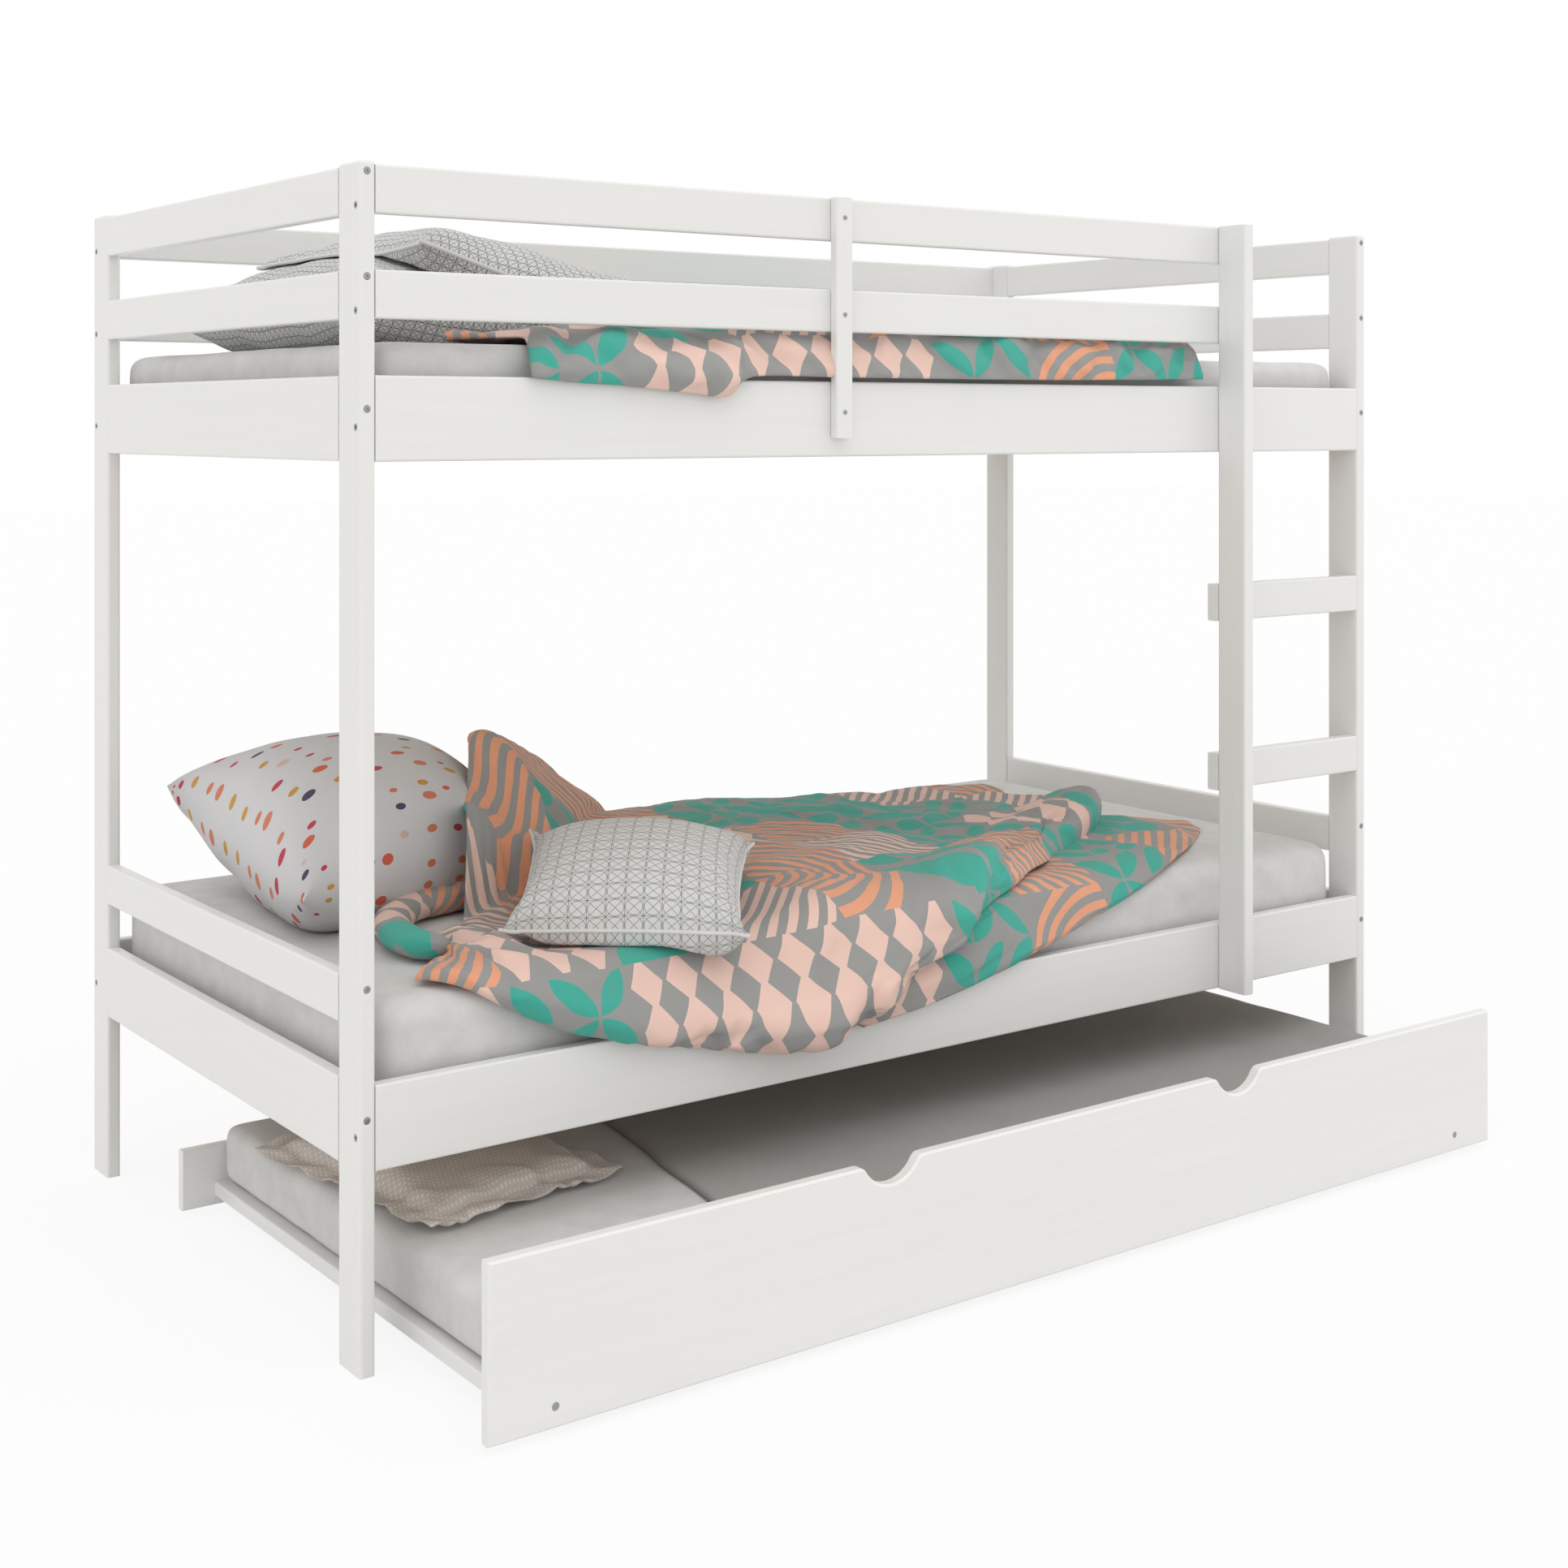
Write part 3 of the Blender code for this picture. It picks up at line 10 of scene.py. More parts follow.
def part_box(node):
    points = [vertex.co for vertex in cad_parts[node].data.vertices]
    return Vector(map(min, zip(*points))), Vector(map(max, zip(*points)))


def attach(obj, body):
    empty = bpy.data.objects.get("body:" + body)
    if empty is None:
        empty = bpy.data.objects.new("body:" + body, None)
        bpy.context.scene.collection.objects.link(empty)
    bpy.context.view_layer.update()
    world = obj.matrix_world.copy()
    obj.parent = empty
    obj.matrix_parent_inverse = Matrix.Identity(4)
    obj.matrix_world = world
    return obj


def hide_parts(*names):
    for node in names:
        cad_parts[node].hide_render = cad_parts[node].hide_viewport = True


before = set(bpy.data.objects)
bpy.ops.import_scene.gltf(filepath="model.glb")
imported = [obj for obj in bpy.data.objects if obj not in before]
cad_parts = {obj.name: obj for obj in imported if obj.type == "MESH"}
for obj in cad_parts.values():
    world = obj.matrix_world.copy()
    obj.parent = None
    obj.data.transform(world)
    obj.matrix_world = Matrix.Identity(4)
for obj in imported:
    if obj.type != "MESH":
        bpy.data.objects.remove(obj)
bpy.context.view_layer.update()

bpy.ops.object.select_all(action="DESELECT")

gap = 0.0004             # between a soft piece and what it lies on
farBelow = -10.0

# camera, floor and light

shot = {"place": (-2.2343, -2.9831, 1.232), "heading": -36.204, "lens": 50.93, "sensor": 36.0,
        "shiftDown": -0.2311, "clipEnd": 200}
studio = {
    "floorSize": 60.0, "floorDepth": 0.0005, "floorColour": (0.82, 0.815, 0.81), "floorGlow": 0.88,
    "sky": (1.0, 0.988, 0.970), "skyStrength": 0.79, "sunWidth": 60.0,
    "suns": {"softKey": ((-0.80, -0.45, 0.34), 0.42), "softFill": ((0.8, -0.40, 0.35), 0.42),
             "softTop": ((-0.10, -0.28, 1.0), 0.78)}}


def addObject(name, data):
    obj = bpy.data.objects.new(name, data)
    bpy.context.scene.collection.objects.link(obj)
    return obj


def makeCamera():
    camera = addObject("camera", bpy.data.cameras.new("camera"))
    camera.location = shot["place"]
    camera.rotation_euler = (math.radians(90), 0, math.radians(shot["heading"]))
    camera.data.lens = shot["lens"]
    camera.data.sensor_width = shot["sensor"]
    camera.data.shift_y = shot["shiftDown"]
    camera.data.clip_end = shot["clipEnd"]
    bpy.context.scene.camera = camera


def makeSuns():
    for name, (fromSide, strength) in studio["suns"].items():
        sun = addObject(name, bpy.data.lights.new(name, "SUN"))
        sun.rotation_mode = "QUATERNION"
        sun.rotation_quaternion = (-Vector(fromSide)).to_track_quat("-Z", "Y")
        sun.data.energy = strength
        sun.data.angle = math.radians(studio["sunWidth"])


class Value:
    # an output of a node: arithmetic with it adds Math nodes to its tree
    def __init__(self, node, key=0):
        self.tree, self.socket = node.id_data, node.outputs[key]

    def __add__(self, other):
        return calc(self.tree, "ADD", self, other)

    def __sub__(self, other):
        return calc(self.tree, "SUBTRACT", self, other)

    def __rsub__(self, other):
        return calc(self.tree, "SUBTRACT", other, self)

    def __mul__(self, other):
        return calc(self.tree, "MULTIPLY", self, other)

    def __truediv__(self, other):
        return calc(self.tree, "DIVIDE", self, other)

    def __rtruediv__(self, other):
        return calc(self.tree, "DIVIDE", other, self)

    def __lt__(self, other):
        return calc(self.tree, "LESS_THAN", self, other)

    def __gt__(self, other):
        return calc(self.tree, "GREATER_THAN", self, other)

    def __abs__(self):
        return calc(self.tree, "ABSOLUTE", self)


def feed(socket, value):
    # a value of the tree is linked, anything else is set
    if isinstance(value, Value):
        value.tree.links.new(value.socket, socket)
    else:
        socket.default_value = value


def addNode(tree, kind, inputs=None, **settings):
    node = tree.nodes.new(kind)
    for key, value in settings.items():
        setattr(node, key, value)
    for key, value in (inputs or {}).items():
        feed(node.inputs[key], value)
    return node


def calc(tree, operation, *values, clamp=False):
    node = addNode(tree, "ShaderNodeMath", dict(enumerate(values)), operation=operation, use_clamp=clamp)
    return Value(node)


def mixColours(tree, share, first, second, blend="MIX"):
    node = addNode(tree, "ShaderNodeMix", {0: share, 6: first, 7: second}, data_type="RGBA", blend_type=blend)
    return Value(node, 2)


def mixShaders(tree, share, first, second, outputName):
    mixed = addNode(tree, "ShaderNodeMixShader", {0: share, 1: Value(first), 2: Value(second)})
    feed(tree.nodes[outputName].inputs["Surface"], Value(mixed))


def seenRay(tree):
    # 1 for what the camera sees, straight or by way of metal and glass
    path = addNode(tree, "ShaderNodeLightPath")
    seen, glossy, through = (Value(path, f"Is {kind} Ray") for kind in ("Camera", "Glossy", "Transmission"))
    return calc(tree, "MAXIMUM", calc(tree, "MAXIMUM", seen, glossy), through)


def makeWorld():
    world = bpy.data.worlds.new("studio")
    world.use_nodes = True
    bpy.context.scene.world = world
    tree = world.node_tree
    lit = tree.nodes["Background"]
    feed(lit.inputs["Color"], (*studio["sky"], 1))
    feed(lit.inputs["Strength"], studio["skyStrength"])
    white = addNode(tree, "ShaderNodeBackground", {"Color": (1, 1, 1, 1)})
    mixShaders(tree, seenRay(tree), lit, white, "World Output")
    bpy.context.scene.view_settings.view_transform = "Standard"


def makeFloor():
    bpy.ops.mesh.primitive_plane_add(size=studio["floorSize"], location=(0, 0, -studio["floorDepth"]))
    floor = bpy.context.object
    floor.name = "floor"
    material = bpy.data.materials.new("paleFloor")
    material.use_nodes = True
    tree = material.node_tree
    shader = tree.nodes["Principled BSDF"]
    feed(shader.inputs["Base Color"], (*studio["floorColour"], 1))
    feed(shader.inputs["Roughness"], 0.9)
    feed(shader.inputs["Specular IOR Level"], 0.1)
    glow = addNode(tree, "ShaderNodeEmission")
    mixShaders(tree, seenRay(tree) * studio["floorGlow"], shader, glow, "Material Output")
    floor.data.materials.append(material)


makeCamera()
makeWorld()
makeFloor()
makeSuns()
print("camera, floor and light are set")

# effects that several materials share


def newGroup(name, inputs, outputs):
    # an input's kind follows its preset: None is a vector, a row a colour, anything else a number
    group = bpy.data.node_groups.new(name, "ShaderNodeTree")
    for label, preset in inputs.items():
        kind = "Vector" if preset is None else "Color" if isinstance(preset, tuple) else "Float"
        socket = group.interface.new_socket(label, in_out="INPUT", socket_type="NodeSocket" + kind)
        if preset is not None:
            socket.default_value = preset
    for label in outputs:
        kind = "Color" if label == "Colour" else "Float"
        group.interface.new_socket(label, in_out="OUTPUT", socket_type="NodeSocket" + kind)
    start = group.nodes.new("NodeGroupInput")
    return group, {label: Value(start, label) for label in inputs}, group.nodes.new("NodeGroupOutput").inputs


def scaled(vector, scale):
    return Value(addNode(vector.tree, "ShaderNodeVectorMath", {0: vector, "Scale": scale}, operation="SCALE"))


def apart(vector):
    node = addNode(vector.tree, "ShaderNodeSeparateXYZ", {0: vector})
    return [Value(node, number) for number in range(3)]


def together(x, y, z=0.0):
    return Value(addNode(x.tree, "ShaderNodeCombineXYZ", {0: x, 1: y, 2: z}))


def fromZero(x, y):
    return calc(x.tree, "SQRT", x * x + y * y)


def fromMiddle(value):
    return abs(value - 0.5)


def softEdge(depth, blur):
    # 1 where the depth inside an outline is above zero and 0 where it is below, with a thin rim between
    return calc(depth.tree, "ADD", depth / blur, 0.5, clamp=True)


def sharper(share, contrast):
    return calc(share.tree, "MULTIPLY_ADD", share - 0.5, contrast, 0.5, clamp=True)


def noiseOf(vector, scale, detail=2.0, roughness=0.5):
    inputs = {"Vector": vector, "Scale": scale, "Detail": detail, "Roughness": roughness}
    return Value(addNode(vector.tree, "ShaderNodeTexNoise", inputs), "Fac")


def makeWeaveGroup():
    # crossing threads: Height for the bump, Shade from 0 to 1 between threads and over them
    group, start, end = newGroup("fineWeave", {"Vector": None, "Pitch": 0.001}, ("Height", "Shade"))
    x, y, z = apart(scaled(start["Vector"], math.tau / start["Pitch"]))
    woven = calc(group, "SINE", x) * calc(group, "SINE", y + z)
    rough = noiseOf(start["Vector"], 900.0)
    feed(end["Height"], woven * 0.5 + rough)
    feed(end["Shade"], calc(group, "MULTIPLY_ADD", woven, 0.25, rough, clamp=True))
    return group


def makeGrainGroup():
    # streaks along X of the given vector
    group, start, end = newGroup("longGrain", {"Vector": None, "Fineness": 60.0, "Stretch": 0.04},
                                 ("Streaks", "Height"))
    x, y, z = apart(start["Vector"])
    place = together(x * start["Stretch"], y, z)
    streaks = noiseOf(place, start["Fineness"], 4.0, 0.6)
    feed(end["Streaks"], streaks)
    feed(end["Height"], noiseOf(place, start["Fineness"] * 6.0) * 0.4 + streaks)
    return group


def makePlushGroup():
    # soft mottling of a brushed cover, with its short fibres
    group, start, end = newGroup("brushedPlush", {"Vector": None, "Patch": 28.0}, ("Shade", "Height"))
    cloudy = noiseOf(start["Vector"], start["Patch"], 6.0, 0.62)
    fibres = noiseOf(start["Vector"], 650.0, 3.0, 0.7)
    feed(end["Shade"], cloudy * 0.72 + fibres * 0.28)
    feed(end["Height"], cloudy * 0.6 + fibres)
    return group


def cellOf(vector, pitch):
    # place inside a square cell, from 0 to 1, and the cell's corner
    even = scaled(vector, 1.0 / pitch)
    return [Value(addNode(vector.tree, "ShaderNodeVectorMath", {0: even}, operation=operation))
            for operation in ("FRACTION", "FLOOR")]


def makeLatticeGroup():
    # thin lines: a square grid, its diagonals and a ring in each square
    group, start, end = newGroup("thinLattice", {"Vector": None, "Pitch": 0.027, "Line": 0.03}, ("Mask",))
    x, y = (fromMiddle(part) for part in apart(cellOf(start["Vector"], start["Pitch"])[0])[:2])
    nearest = 0.5 - x
    for away in (0.5 - y, abs(x - y) * 0.7071, abs(fromZero(x, y) - 0.46)):
        nearest = calc(group, "MINIMUM", nearest, away)
    feed(end["Mask"], softEdge(start["Line"] - nearest, 0.02))
    return group


def makeSpotGroup():
    # scattered ovals of several sizes, with a number from 0 to 1 that chooses each one's colour
    group, start, end = newGroup("scatteredSpots", {"Vector": None, "Pitch": 0.045, "Size": 0.17},
                                 ("Mask", "Choice"))
    x, y = apart(start["Vector"])[:2]
    inputs = {"Vector": together(x * 0.62, y), "Scale": 1.0 / start["Pitch"], "Randomness": 0.72}
    cells = addNode(group, "ShaderNodeTexVoronoi", inputs, voronoi_dimensions="2D")
    chance = addNode(group, "ShaderNodeSeparateColor", {0: Value(cells, "Color")})
    size = start["Size"] * (Value(chance, 1) * 0.7 + 0.65)
    feed(end["Mask"], softEdge(size - Value(cells, "Distance"), 0.015))
    feed(end["Choice"], Value(chance))
    return group


def makeDotGroup():
    # even dots, every second row moved half a pitch along
    group, start, end = newGroup("evenDots", {"Vector": None, "Pitch": 0.009, "Size": 0.22}, ("Mask",))
    x, y = apart(scaled(start["Vector"], 1.0 / start["Pitch"]))[:2]
    row = calc(group, "MODULO", abs(calc(group, "FLOOR", y)), 2.0) * 0.5
    away = fromZero(calc(group, "FRACT", x + row) - 0.5, calc(group, "FRACT", y) - 0.5)
    feed(end["Mask"], softEdge(start["Size"] - away, 0.08))
    return group


def hashOf(corner, shift):
    # three numbers between 0 and 1 that are the same all over a cell
    steps = {0: corner, 1: (shift, 2 * shift, 0.5)}
    moved = addNode(corner.tree, "ShaderNodeVectorMath", steps, operation="ADD")
    chance = addNode(corner.tree, "ShaderNodeTexWhiteNoise", {"Vector": Value(moved)}, noise_dimensions="3D")
    parts = addNode(corner.tree, "ShaderNodeSeparateColor", {0: Value(chance, "Color")})
    return [Value(parts, number) for number in range(3)]


def turnedCell(vector, pitch, shift):
    # place in a cell that is mirrored by chance along each way, and the cell's corner
    inside, corner = cellOf(vector, pitch)
    turned = []
    for part, flip in zip(apart(inside)[:2], hashOf(corner, shift)):
        sides = {0: flip > 0.5, 2: part, 3: 1.0 - part}
        turned.append(Value(addNode(vector.tree, "ShaderNodeMix", sides, data_type="FLOAT")))
    return *turned, corner


def makeQuiltGroup():
    # blocks of leaves, quarter discs, quarter rings, slanting bars and lozenges, each turned by chance
    group, start, end = newGroup("patchwork", {"Vector": None, "Block": 0.25, "Ground": (0.35, 0.35, 0.34, 1),
                                               "Green": (0.05, 0.46, 0.36, 1), "Peach": (0.92, 0.41, 0.24, 1),
                                               "Pink": (0.93, 0.65, 0.56, 1)}, ("Colour",))
    wideX, wideY, blockCorner = turnedCell(start["Vector"], start["Block"], 0.37)
    x, y = turnedCell(start["Vector"], start["Block"] / 3.0, 5.11)[:2]
    kind = hashOf(blockCorner, 11.73)[0]
    near, far = fromZero(x, y), fromZero(wideX, wideY)
    disc = near < 0.90
    leaf = (near < 0.97) * (fromZero(x - 1.0, y - 1.0) < 0.97)
    lozenge = fromMiddle(x) + fromMiddle(y) * 0.72 < 0.45
    rings = (calc(group, "FRACT", far * 7.5) < 0.5) * (far < 1.2)
    bars = calc(group, "FRACT", (wideX + wideY) * 6.0) < 0.5
    colour = start["Ground"]
    for low, high, mask, paint in ((0.00, 0.18, leaf, "Green"), (0.18, 0.34, disc, "Green"),
                                   (0.34, 0.56, rings, "Peach"), (0.56, 0.74, bars, "Peach"),
                                   (0.74, 0.90, lozenge, "Pink"), (0.90, 1.01, bars, "Pink")):
        colour = mixColours(group, (kind > low) * (kind < high) * mask, colour, start[paint])
    feed(end["Colour"], colour)
    return group


groups = {"weave": makeWeaveGroup(), "grain": makeGrainGroup(), "plush": makePlushGroup(),
          "lattice": makeLatticeGroup(), "spots": makeSpotGroup(), "dots": makeDotGroup(),
          "quilt": makeQuiltGroup()}

# materials


def shadesOf(colour, spread):
    return [[part * (1 + way * spread) for part in colour] for way in (-1, 1)]


finishes = {
    "lacquer": {"tones": shadesOf((0.775, 0.775, 0.762), 0.030), "roughness": 0.38, "spread": 0.16,
                "coat": 0.12, "fineness": 70.0, "contrast": 1.0, "relief": 0.00006},
    "pine": {"tones": ((0.72, 0.55, 0.36), (0.50, 0.33, 0.17)), "roughness": 0.62, "spread": 0.2,
             "fineness": 28.0, "contrast": 2.2, "relief": 0.00012},
    "castorBody": {"tones": shadesOf((0.055, 0.055, 0.058), 0.12), "roughness": 0.42, "relief": 0.00008},
    "castorTread": {"tones": shadesOf((0.030, 0.030, 0.032), 0.12), "roughness": 0.60, "relief": 0.00008},
    "zinc": {"tones": shadesOf((0.36, 0.36, 0.37), 0.12), "roughness": 0.34, "metallic": 1.0,
             "relief": 0.00003},
    "mattressCover": {"tones": ((0.57, 0.565, 0.56), (0.72, 0.715, 0.71)), "roughness": 0.95, "sheen": 0.25,
                      "relief": 0.0006},
    # the trundle's cover is a slightly darker copy of the mattress cover: painted shade for the trundle under
    # the bunk
    "trundleCoverPaintedShade": {"tones": ((0.55, 0.545, 0.54), (0.69, 0.685, 0.68)), "roughness": 0.95, "sheen": 0.25,
                     "relief": 0.0006},
    "duvetCover": {"Block": 0.186, "Ground": (0.352, 0.352, 0.345), "Green": (0.051, 0.456, 0.361),
                   "Peach": (0.922, 0.413, 0.238), "Pink": (0.930, 0.651, 0.558), "thread": 0.0011,
                   "sheen": 0.15},
    "blanketCloth": {"tones": ((0.340, 0.330, 0.317), (0.410, 0.398, 0.383)), "thread": 0.0016, "sheen": 0.2,
                     "relief": 0.0005},
    "spottedCotton": {"ground": (0.80, 0.80, 0.81), "thread": 0.0009, "Pitch": 0.052, "Size": 0.150,
                      "sheen": 0.1},
    "latticeCotton": {"tones": ((0.86, 0.86, 0.85), (0.12, 0.12, 0.12)), "thread": 0.0009, "Pitch": 0.0265,
                      "Line": 0.013, "sheen": 0.1},
    "smallLattice": {"tones": ((0.92, 0.92, 0.91), (0.08, 0.08, 0.08)), "thread": 0.0009, "Pitch": 0.0185,
                     "Line": 0.020, "sheen": 0.1},
    "dottedCotton": {"tones": ((0.83, 0.745, 0.68), (0.97, 0.96, 0.94)), "thread": 0.0010, "Pitch": 0.0072,
                     "Size": 0.29, "sheen": 0.1},
    "pipingCloth": {"colour": (0.93, 0.93, 0.92), "thread": 0.0008},
}
spotColours = ((0.0, (0.80, 0.13, 0.06)), (0.26, (0.62, 0.03, 0.08)), (0.46, (0.72, 0.36, 0.05)),
               (0.64, (0.80, 0.24, 0.12)), (0.80, (0.05, 0.05, 0.12)), (0.88, (0.80, 0.58, 0.50)))


def opaque(colour):
    return (*colour, 1.0)


def newMaterial(name, look):
    material = bpy.data.materials.new(name)
    material.use_nodes = True
    shader = material.node_tree.nodes["Principled BSDF"]
    for label in ("Roughness", "Metallic", "Coat Weight", "Sheen Weight"):
        feed(shader.inputs[label], look.get(label.split()[0].lower(), 0.0))
    return material, material.node_tree, shader.inputs


def useGroup(tree, name, vector, look):
    # a group takes the values of a finish that carry its inputs' names
    node = addNode(tree, "ShaderNodeGroup", {"Vector": vector}, node_tree=groups[name])
    for socket in node.inputs:
        if socket.name in look:
            value = look[socket.name]
            feed(socket, opaque(value) if isinstance(value, tuple) else value)
    return {socket.name: Value(node, socket.name) for socket in node.outputs}


def placeOf(tree, name="Object"):
    return Value(addNode(tree, "ShaderNodeTexCoord"), name)


def alongAxis(vector, axis):
    # turns the vector so that its first part runs along an axis
    parts = apart(vector)
    return together(*(parts[(number + axis) % 3] for number in range(3)))


def tint(inputs, share, tones):
    feed(inputs["Base Color"], mixColours(share.tree, share, opaque(tones[0]), opaque(tones[1])))


def varyRoughness(inputs, share, middle, spread):
    feed(inputs["Roughness"], calc(share.tree, "MULTIPLY_ADD", share, spread, middle - spread / 2))


def addRelief(inputs, height, depth):
    bump = addNode(height.tree, "ShaderNodeBump", {"Strength": 1.0, "Distance": depth, "Height": height})
    feed(inputs["Normal"], Value(bump))


def makeWood(kind, axis):
    look = finishes[kind]
    material, tree, inputs = newMaterial(kind + "Along" + "XYZ"[axis], look)
    streaks = {"Fineness": look["fineness"], "Stretch": 0.05}
    grain = useGroup(tree, "grain", alongAxis(placeOf(tree), axis), streaks)
    tint(inputs, sharper(grain["Streaks"], look["contrast"]), look["tones"])
    varyRoughness(inputs, grain["Streaks"], look["roughness"], look["spread"])
    addRelief(inputs, grain["Height"], look["relief"])
    return material


def makeMoulded(name):
    look = finishes[name]
    material, tree, inputs = newMaterial(name, look)
    speckle = noiseOf(placeOf(tree), 420.0, 3.0, 0.6)
    tint(inputs, speckle, look["tones"])
    varyRoughness(inputs, speckle, look["roughness"], 0.2)
    addRelief(inputs, speckle, look["relief"])
    return material


def makeMattressCover(name):
    look = finishes[name]
    material, tree, inputs = newMaterial(name, look)
    plush = useGroup(tree, "plush", placeOf(tree), {"Patch": 24.0})
    tint(inputs, sharper(plush["Shade"], 2.0), look["tones"])
    addRelief(inputs, plush["Height"], look["relief"])
    return material


def paintQuilt(tree, place, look):
    return useGroup(tree, "quilt", place, look)["Colour"]


def paintMottled(tree, place, look):
    dark, light = look["tones"]
    return mixColours(tree, noiseOf(place, 14.0, 4.0, 0.6), opaque(dark), opaque(light))


def paintMasked(pattern):
    def paint(tree, place, look):
        ground, mark = look["tones"]
        return mixColours(tree, useGroup(tree, pattern, place, look)["Mask"], opaque(ground), opaque(mark))

    return paint


def paintSpotted(tree, place, look):
    spots = useGroup(tree, "spots", place, look)
    ramp = addNode(tree, "ShaderNodeValToRGB", {0: spots["Choice"]})
    stops = ramp.color_ramp.elements
    ramp.color_ramp.interpolation = "CONSTANT"
    for number, (start, colour) in enumerate(spotColours):
        stop = stops[0] if number == 0 else stops.new(start)
        stop.position = start
        stop.color = opaque(colour)
    stops.remove(stops[-1])
    return mixColours(tree, spots["Mask"], opaque(look["ground"]), Value(ramp))


def paintPlain(tree, place, look):
    return opaque(look["colour"])


def makeCloth(name, paint, mapping="UV"):
    # threads darken the colour a little where they cross under, and give the bump
    look = finishes[name]
    material, tree, inputs = newMaterial(name, look)
    place = placeOf(tree, mapping)
    weave = useGroup(tree, "weave", place, {"Pitch": look["thread"]})
    shade = mixColours(tree, weave["Shade"], (0.90, 0.90, 0.90, 1), (1, 1, 1, 1))
    feed(inputs["Base Color"], mixColours(tree, 1.0, paint(tree, place, look), shade, "MULTIPLY"))
    varyRoughness(inputs, weave["Shade"], 0.87, 0.1)
    addRelief(inputs, weave["Height"], look.get("relief", 0.00035))
    return material


materials = {"mattress": makeMattressCover("mattressCover"),
             # the trundle's cover material carries painted shade
             "trundleMattressPaintedShade": makeMattressCover("trundleCoverPaintedShade"),
             "duvet": makeCloth("duvetCover", paintQuilt),
             "blanket": makeCloth("blanketCloth", paintMottled),
             "spotted": makeCloth("spottedCotton", paintSpotted),
             "lattice": makeCloth("latticeCotton", paintMasked("lattice")),
             "smallLattice": makeCloth("smallLattice", paintMasked("lattice")),
             "dotted": makeCloth("dottedCotton", paintMasked("dots")),
             "piping": makeCloth("pipingCloth", paintPlain, "Object"), "zinc": makeMoulded("zinc"),
             "castorBody": makeMoulded("castorBody"), "castorTread": makeMoulded("castorTread")}
lacquers, pines = ([makeWood(kind, axis) for axis in range(3)] for kind in ("lacquer", "pine"))


def materialOf(name):
    # each board's streaks run along its longest side
    low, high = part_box(name)
    axis = max(range(3), key=lambda number: (high - low)[number])
    for part, material in (("slat_base", pines[1]), ("ledger", pines[axis]), ("bolt", materials["zinc"]),
                           ("_wheel", materials["castorTread"]), ("_housing", materials["castorBody"])):
        if part in name:
            return material
    return lacquers[axis]


for name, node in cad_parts.items():
    for slot in node.material_slots:
        slot.material = materialOf(name)
print("materials are made")

# bolts of the posts and screws of the guard upright

bolt = {"radius": 0.0047, "thickness": 0.0024, "recess": 0.003, "sunk": 0.0003, "edge": 0.0004,
        "socket": 0.0024, "socketDepth": 0.0013, "frontInset": 0.010, "sideInset": 0.013,
        "boardHeight": 0.112, "railHeight": 0.0635, "frontShares": (0.61, 0.85), "sideShares": (0.40, 0.16)}
screw = {"radius": 0.0034, "thickness": 0.0016, "sunk": 0.0004, "edge": 0.0003, "socket": 0.0017,
         "socketDepth": 0.0009, "heights": (1.246, 1.391, 1.535)}
boltedBoards = ("lower_front_board", "upper_front_board")
boltedRails = ("lower_left_end_rail", "front_mid_rail", "front_top_rail")


def selectOnly(*objects):
    bpy.ops.object.select_all(action="DESELECT")
    for obj in objects:
        obj.select_set(True)
    bpy.context.view_layer.objects.active = objects[0]


def chooseInEdit(obj, faces=None, verts=None):
    # selects faces or points of the open mesh by a test of each one
    shape = bmesh.from_edit_mesh(obj.data)
    bpy.ops.mesh.select_all(action="DESELECT")
    for item in shape.faces if faces else shape.verts:
        if (faces or verts)(item):
            item.select_set(True)
    shape.select_flush_mode()
    bmesh.update_edit_mesh(obj.data)


def makeHexHead(name, look):
    # a flat head that looks along -Y, with a rounded rim and a six-sided socket
    bpy.ops.mesh.primitive_cylinder_add(vertices=24, radius=look["radius"], depth=look["thickness"],
                                        end_fill_type="NGON")
    head = bpy.context.object
    head.name = name
    half = look["thickness"] / 2
    bpy.ops.object.mode_set(mode="EDIT")
    bpy.ops.mesh.select_mode(type="FACE")
    chooseInEdit(head, faces=lambda face: face.normal.z > 0.9)
    bpy.ops.mesh.bevel(offset=look["edge"], segments=2, affect="EDGES")
    chooseInEdit(head, faces=lambda face: face.normal.z > 0.9
                 and face.calc_center_median().length < half * 1.01)
    bpy.ops.mesh.inset(thickness=look["radius"] - look["edge"] - look["socket"], depth=0)
    bpy.ops.mesh.select_mode(type="VERT")
    # points between the socket's corners move in to its flat sides
    for step in (1, 2, 3):
        def between(vert, step=step):
            turn = math.degrees(math.atan2(vert.co.y, vert.co.x)) % 60
            far = math.hypot(vert.co.x, vert.co.y)
            return vert.co.z > 0 and far < look["socket"] * 1.05 and abs(turn - 15 * step) < 3
        chooseInEdit(head, verts=between)
        share = 0.8660 if step == 2 else 0.8966
        bpy.ops.transform.resize(value=(share, share, 1), center_override=(0, 0, 0))
    bpy.ops.mesh.select_mode(type="FACE")
    chooseInEdit(head, faces=lambda face: face.normal.z > 0.9 and len(face.verts) == 24
                 and face.calc_area() < math.pi * look["socket"] ** 2 * 1.05)
    bpy.ops.mesh.extrude_region_move(TRANSFORM_OT_translate={"value": (0, 0, -look["socketDepth"])})
    bpy.ops.object.mode_set(mode="OBJECT")
    bpy.ops.object.shade_smooth_by_angle(angle=math.radians(30))
    head.data.materials.append(materials["zinc"])
    head.data.transform(Matrix.Rotation(math.pi / 2, 4, "X"))
    return head


def boltHeights(shares, rails):
    spans = ((boltedBoards, shares[0] * bolt["boardHeight"]), (rails, shares[1] * bolt["railHeight"]))
    return [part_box(name)[0].z + above for names, above in spans for name in names]


def declare(obj, body):
    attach(obj, body)


